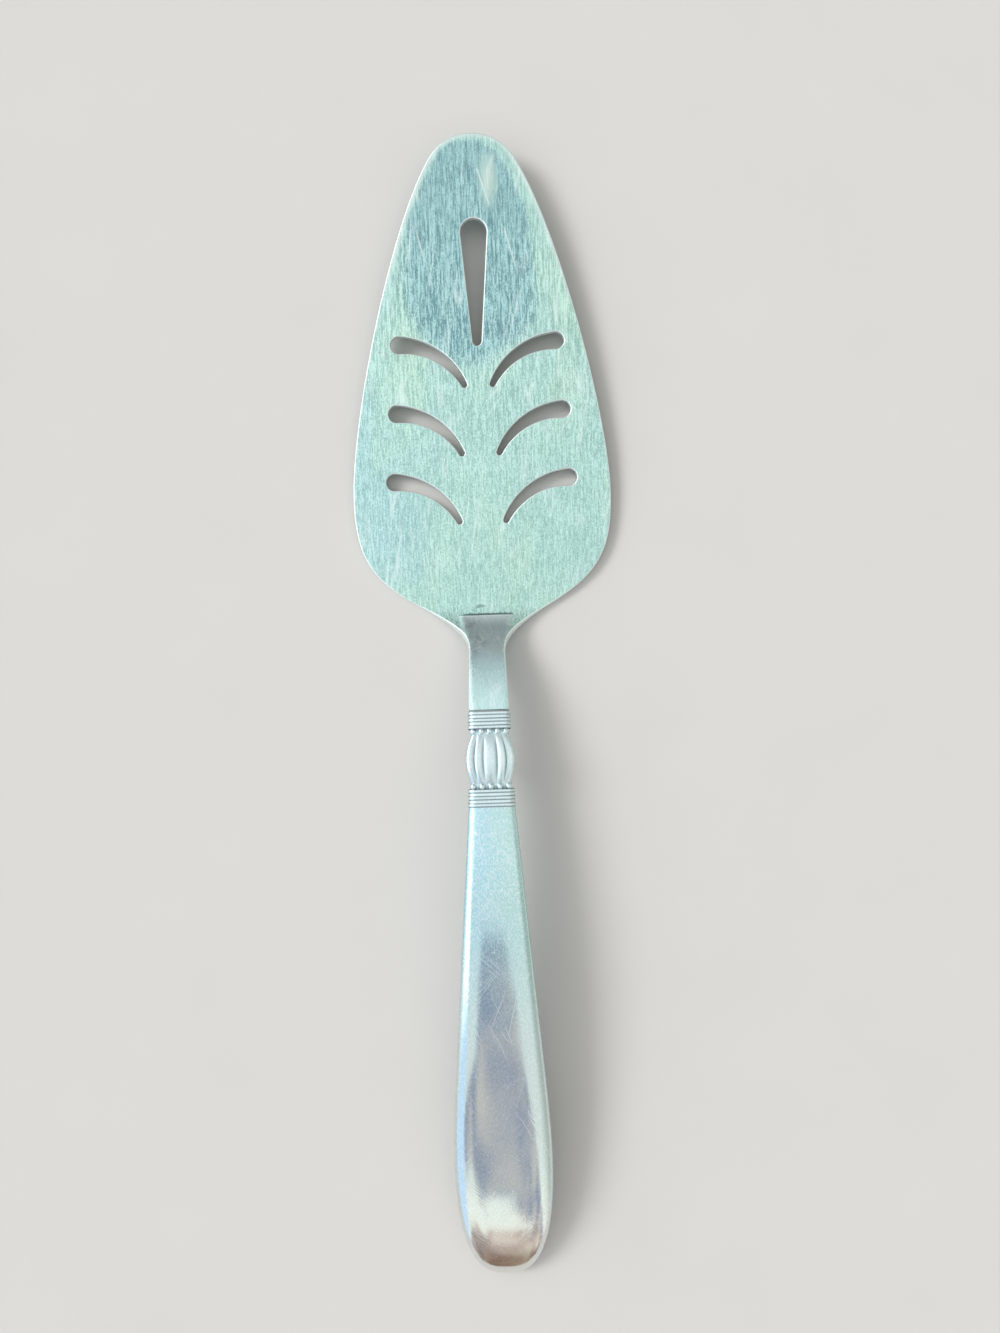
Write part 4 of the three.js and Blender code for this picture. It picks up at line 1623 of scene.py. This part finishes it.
    def _shaded(self, s: np.ndarray, groove: np.ndarray) -> np.ndarray:
        """How much painted shade a place on the ornament gets, in the valleys of the knop, on its shelf
        and at the feet of the rings.

        Args:
            s: Distance from the mouth.
            groove: Depth of the valley between lobes.

        Returns:
            0 on the raised parts to 1 in a hollow.
        """
        from_knop = np.abs(s - self._knop_at)
        valleys = self.valley_shade * (groove / self.lobe_depth) ** 2
        shelf_start = self.knop_length / 2 - self.shelf_fade
        shelf = self.shelf_shade * eased(from_knop, shelf_start, self._shelf_end)
        feet = ridge(self._from_ring(from_knop), self.ring_width / 2, self.ring_foot)
        shaded = np.where(from_knop < self._shelf_end, np.maximum(valleys, shelf), feet)
        return np.clip(shaded, 0.0, 1.0)

    def _outer_skin(self, name: str) -> bpy.types.Object:
        """The outside of the shell, as a grid spread over its sections.

        Args:
            name: The name of the shell.

        Returns:
            The skin, still level.
        """
        stations = self._stations()
        rows, columns = len(stations) - 1, self.around
        Bench.clear()
        bpy.ops.mesh.primitive_grid_add(x_subdivisions=columns, y_subdivisions=rows, size=2.0)
        shell = bpy.context.object
        shell.name = name
        grid = Bench.points(shell)
        turn = (grid[:, 0] + 1.0) / 2.0
        s = stations[np.rint((grid[:, 1] + 1.0) / 2.0 * rows).astype(int)]
        x, above, groove = self._section(s, turn)
        above = self.half.value * np.maximum(above, self.seam_gap / 2)
        hollow = self._shaded(s, groove)
        reach = self._last_ring + self.ring_width / 2
        raised = 1.0 - eased(np.abs(s - self._knop_at), reach, reach + self.past_rings)
        # Painted shade in the hollows
        Bench.note(shell, "hollow", hollow)
        # Painted highlight on the raised ornament, away from its hollows
        Bench.note(shell, "crest", raised * (1.0 - hollow) * self.crest_shine)
        Bench.move(shell, self.line.place(self.line.mouth + s, x, above))
        if self.half is Half.LOWER:
            shell.data.flip_normals()
        return shell

    def _hollow_out(self, shell: bpy.types.Object) -> None:
        """Gives the skin its wall, with an end wall at the mouth that leaves room for the tang.

        Args:
            shell: The outer skin.
        """
        count = len(shell.data.vertices)
        stations = self._stations()
        Bench.hold(shell)
        wall = shell.modifiers.new("wall", "SOLIDIFY")
        wall.thickness = self.wall
        wall.offset = -1.0
        bpy.ops.object.modifier_apply(modifier=wall.name)
        points = Bench.points(shell)
        row = np.repeat(np.arange(len(stations)), self.around + 1)
        turn = math.pi * np.tile(np.arange(self.around + 1), len(stations)) / self.around
        end = self.line.handle_length - self.wall
        first = stations[self.tang_room_rows]
        inside = np.maximum(stations[row] - first, 0.0)
        along = self.mouth_wall + (end - self.mouth_wall) * inside / (self.line.handle_length - first)
        width, height = self._plain_size(along, end)
        grip_start = self._ornament_end + 2 * self.knop_inset
        inset = self.knop_inset * (1.0 - eased(along, self._ornament_end, grip_start))
        width = np.maximum(width - self.wall - inset, width * self.least_room)
        inset = inset * self.knop_height_share
        height = np.maximum(height - self.wall - inset, height * self.least_room)
        x, above = width * np.cos(turn), height * np.sin(turn)
        room = row < self.tang_room_rows
        room_rise = np.minimum(np.sin(turn) * self.tang_room_corner, 1.0)
        x = np.where(room, self.tang_room_width / 2 * np.cos(turn), x)
        above = np.where(room, self.tang_room_height / 2 * room_rise, above)
        along = np.where(row == 0, 0.0, along)
        above = self.half.value * np.maximum(above, self.seam_gap / 2)
        points[count:] = self.line.place(self.line.mouth + along, x, above)
        Bench.move(shell, points)
        Bench.merge(shell)

    def _add_beads(self, shell: bpy.types.Object) -> None:
        """Copies one bead along a row on each side of the knop and joins the copies to the shell.

        Args:
            shell: The hollow shell.
        """
        pattern = self._bead()
        beads = []
        for spot in (-1, 1):
            for index in range(self.beads_per_row):
                Bench.hold(pattern)
                bpy.ops.object.duplicate()
                bpy.ops.transform.translate(value=self._bead_place(spot, index))
                bpy.ops.object.transform_apply(location=True, rotation=False, scale=False)
                beads.append(bpy.context.object)
        Bench.hold(pattern)
        bpy.ops.object.delete()
        Bench.hold(shell)
        for bead in beads:
            bead.select_set(True)
        bpy.ops.object.join()

    def _bead(self) -> bpy.types.Object:
        """One bead at the origin, cut flat where it is sunk into the shell.

        Returns:
            The bead, whose foot points to the seam.
        """
        Bench.clear()
        bpy.ops.mesh.primitive_uv_sphere_add(
            segments=self.bead_segments, ring_count=self.bead_rings, radius=self.bead_radius
        )
        bead = bpy.context.object
        outward = (0.0, 0.0, float(self.half.value))
        foot = tuple(-self.bead_foot * self.bead_radius * part for part in outward)
        Bench.trim(bead, foot, outward)
        # Painted shade on the lower part of the bead, where it sinks into the shell
        sunk = self.bead_shade_from - self.half.value * Bench.points(bead)[:, 2] / self.bead_radius
        Bench.note(bead, "hollow", self.bead_shade * np.clip(sunk, 0.0, 1.0))
        # Painted highlight over the whole bead
        Bench.note(bead, "crest", np.full(len(sunk), self.crest_shine))
        return bead

    def _bead_place(self, spot: int, index: int) -> Triple:
        """Where a bead sits.

        Args:
            spot: -1 on the mouth's side of the knop and 1 on the grip's side.
            index: Its place in the row.

        Returns:
            The middle of the bead on the level server.
        """
        across = self.bead_spread * (1.0 - 2.0 * index / (self.beads_per_row - 1))
        s = np.array([self._knop_at + spot * self.bead_from_knop])
        width, height = self._plain_size(s, self.line.handle_length)
        stand = self._ornament(s)
        squareness = self.mouth_squareness
        rise = (1.0 - abs(across) ** squareness) ** (1.0 / squareness)
        above = self.half.value * (height + stand * self.knop_height_share) * rise
        return tuple(self.line.place(self.line.mouth + s, (width + stand) * across, above)[0])


# Joints


@dataclass
class JointFillings:
    """Solder and cement that hold the shells and the tang, carried over from the CAD."""

    solder: SilverSolder = field(default_factory=SilverSolder)
    cement: HandleCement = field(default_factory=HandleCement)

    def build(self) -> list[bpy.types.Object]:
        """Dresses the nodes.

        Returns:
            The dressed nodes.
        """
        solder, cement = self.solder.material(), self.cement.material()
        finishes = {"seam_solder": solder, "mouth_solder": solder, "handle_cement": cement}
        for name, finish in finishes.items():
            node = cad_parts[name]
            node.data.materials.clear()
            node.data.materials.append(finish)
        return [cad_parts[name] for name in finishes]


# Studio


@dataclass(frozen=True)
class DimCard:
    """A dim patch of the room to the south, which widens as it goes down."""

    blue: Colour = (0.35, 0.37, 0.47, 1.0)
    pink: Colour = (0.70, 0.62, 0.59, 1.0)
    patch_cells: Triple = (8.0, 6.0, 8.0)
    patch_gain: float = 1.6
    patch_south: float = 0.3
    pink_from: Span = (0.0, 0.42)
    low_from: float = 0.5
    low_shift: float = 1.6
    low_widening: float = 0.5
    wide_from: float = 0.26
    widening: float = 0.48
    middle: float = 0.03
    side_edge: Span = (0.0, 0.06)
    side_fray: float = 0.15
    start_edge: Span = (0.23, 0.26)
    start_fray: float = 0.06
    end_edge: Span = (0.775, 0.81)
    end_lean: float = 0.2
    end_fray: float = 0.25

    def colour(self, graph: Graph, way: Signal, south: Signal) -> Signal:
        """The patch's mottled colour.

        Args:
            graph: The room's nodes.
            way: Direction into the room.
            south: Its share to the south.

        Returns:
            The colour.
        """
        mottle = graph.noise(graph.stretched(way, self.patch_cells), detail=3.0).swing
        patches = mottle * self.patch_gain + south * self.patch_south
        return graph.mix(self.blue, self.pink, patches.rise(*self.pink_from))

    def share(self, east: Signal, south: Signal, uneven: Signal) -> Signal:
        """How much of the patch shows.

        Args:
            east: Share of the direction to the east.
            south: Share of the direction to the south.
            uneven: Noise that frays the patch's edges.

        Returns:
            1 in the patch and 0 outside it.
        """
        low = (south - self.low_from).largest(0.0)
        shift = low * self.low_shift
        wide = (south - self.wide_from) * self.widening + low * self.low_widening + shift
        beside = abs(east + shift + self.middle) - wide + uneven * self.side_fray
        start = (south + uneven * self.start_fray).rise(*self.start_edge)
        end = (south - east * self.end_lean + uneven * self.end_fray).rise(*self.end_edge)
        return start * (1.0 - beside.rise(*self.side_edge)) * (1.0 - end)


@dataclass(frozen=True)
class SoftRoom:
    """Soft light from all sides, with a bright window in the west and a mottled end in the south."""

    strength: float = 1.03
    backdrop: Colour = (0.76, 0.76, 0.75, 1.0)
    stops: Stops = (
        (0.12, (1.05, 1.04, 0.96, 1.0)),
        (0.18, (0.86, 0.87, 0.83, 1.0)),
        (0.36, (0.83, 0.86, 0.86, 1.0)),
        (0.43, (0.87, 0.88, 0.88, 1.0)),
        (0.48, (1.0, 0.99, 0.99, 1.0)),
        (0.6, (0.95, 0.95, 0.95, 1.0)),
        (0.68, (0.94, 0.94, 0.94, 1.0)),
        (0.78, (0.78, 0.78, 0.78, 1.0)),
        (0.88, (0.56, 0.56, 0.57, 1.0)),
        (0.96, (0.38, 0.38, 0.39, 1.0)),
        (1.0, (0.33, 0.33, 0.34, 1.0)),
    )
    cells: Triple = (5.0, 5.0, 5.0)
    fray: float = 0.08
    window_high: Colour = (2.3, 2.3, 2.3, 1.0)
    window_low: Colour = (0.72, 0.88, 1.1, 1.0)
    window_fall: Span = (0.2, 0.45)
    window_start: Span = (0.42, 0.56)
    window_end: Span = (0.78, 0.92)
    window_end_loss: float = 0.85
    west_tint: Colour = (1.05, 1.05, 1.05, 1.0)
    west_from: Span = (-0.1, 0.14)
    west_north: Span = (0.1, 0.2)
    east_tint: Colour = (0.62, 0.63, 0.60, 1.0)
    east_from: Span = (0.42, 0.85)
    far_stops: Stops = (
        (0.40, (0.42, 0.36, 0.34, 1.0)),
        (0.52, (0.70, 0.56, 0.51, 1.0)),
        (0.64, (1.0, 0.94, 0.84, 1.0)),
    )
    far_cells: Triple = (4.0, 4.0, 4.0)
    far_tint: Colour = (0.38, 0.31, 0.25, 1.0)
    far_tint_from: Span = (0.9, 1.0)
    far_from: Span = (0.84, 0.88)
    far_fray: float = 0.3
    card: DimCard = DimCard()

    def build(self) -> None:
        """Fills the scene's world with the light."""
        world = bpy.data.worlds.new("soft_room")
        world.use_nodes = True
        bpy.context.scene.world = world
        graph = Graph(world.node_tree)
        way = graph.node("ShaderNodeTexCoord", {}, {}, "Generated")
        east, north, _ = graph.parts(way)
        west, south = 0.0 - east, 0.0 - north
        uneven = graph.noise(graph.stretched(way, self.cells), detail=3.0).swing
        room = graph.ramp(north * 0.5 + 0.5 + uneven * self.fray, self.stops)
        far = (south + uneven * self.far_fray).rise(*self.far_from)
        room = graph.mix(room, self._far_end(graph, way, south), far)
        card = self.card.colour(graph, way, south)
        room = graph.mix(room, card, self.card.share(east, south, uneven))
        lit = west.rise(*self.west_from) * north.rise(*self.west_north)
        room = graph.tint(room, self.west_tint, lit)
        window = graph.mix(self.window_high, self.window_low, south.rise(*self.window_fall))
        beyond = west.rise(*self.window_end) * self.window_end_loss
        room = graph.mix(room, window, west.rise(*self.window_start) * (1.0 - beyond))
        room = graph.tint(room, self.east_tint, east.rise(*self.east_from))
        seen = graph.node("ShaderNodeLightPath", {}, {}, "Is Camera Ray")
        room = graph.mix(room, self.backdrop, seen)
        light = graph.node("ShaderNodeBackground", {}, {"Color": room, "Strength": self.strength})
        graph.node("ShaderNodeOutputWorld", {}, {"Surface": light})

    def _far_end(self, graph: Graph, way: Signal, south: Signal) -> Signal:
        """Mottled brown, pink and cream of the low south end of the room.

        Args:
            graph: The room's nodes.
            way: Direction into the room.
            south: Its share to the south.

        Returns:
            The colour.
        """
        mottle = graph.noise(graph.stretched(way, self.far_cells), detail=3.0)
        end = graph.ramp(mottle, self.far_stops)
        return graph.tint(end, self.far_tint, south.rise(*self.far_tint_from))


@dataclass
class Studio:
    """Pale table, soft light and the camera above, in metres and degrees."""

    table_size: float = 3.0
    camera_place: Triple = (0.00275, 0.00936, 0.229)
    camera_roll: float = -1.9
    focal_length: float = 27.0
    sensor_width: float = 36.0
    clip_start: float = 0.01
    key_way: Triple = (-0.50, 0.18, 0.42)
    key_spread: float = 22.0
    key_strength: float = 1.9
    room: SoftRoom = field(default_factory=SoftRoom)
    finish: PaleTable = field(default_factory=PaleTable)

    def build(self) -> None:
        """Sets up the table, the lights and the camera."""
        self._lay_table()
        self.room.build()
        self._hang_key()
        self._hang_camera()

    def _lay_table(self) -> None:
        """Lays the table top under the server."""
        Bench.clear()
        bpy.ops.mesh.primitive_plane_add(size=self.table_size)
        table = bpy.context.object
        table.name = "table"
        table.data.materials.append(self.finish.material())

    def _hang_key(self) -> None:
        """Hangs a wide soft light at the upper left, which leaves no glare on the steel."""
        Bench.clear()
        x, y, z = self.key_way
        turn = (math.atan2(math.hypot(x, y), z), 0.0, math.atan2(x, -y))
        bpy.ops.object.light_add(type="SUN", location=self.key_way, rotation=turn)
        key = bpy.context.object
        key.name = "key_light"
        key.data.angle = math.radians(self.key_spread)
        key.data.energy = self.key_strength
        key.visible_glossy = False

    def _hang_camera(self) -> None:
        """Hangs the camera straight above the server."""
        Bench.clear()
        roll = math.radians(self.camera_roll)
        bpy.ops.object.camera_add(location=self.camera_place, rotation=(0.0, 0.0, roll))
        camera = bpy.context.object
        camera.name = "camera"
        camera.data.lens = self.focal_length
        camera.data.sensor_width = self.sensor_width
        camera.data.clip_start = self.clip_start
        bpy.context.scene.camera = camera
        bpy.context.scene.view_settings.view_transform = "Standard"


def main() -> None:
    """Builds the server and its studio in order, and reports each piece."""
    logging.basicConfig(level=logging.INFO, format="%(message)s")
    line, pose = CentreLine(), RestPose()
    pieces = [Blade(line, pose).build()]
    pieces += [HandleShell(line, pose, half).build() for half in Half]
    pieces += JointFillings().build()
    for piece in pieces:
        LOG.info("%s: %d faces", piece.name, len(piece.data.polygons))
    Studio().build()


if __name__ == "__main__":
    main()
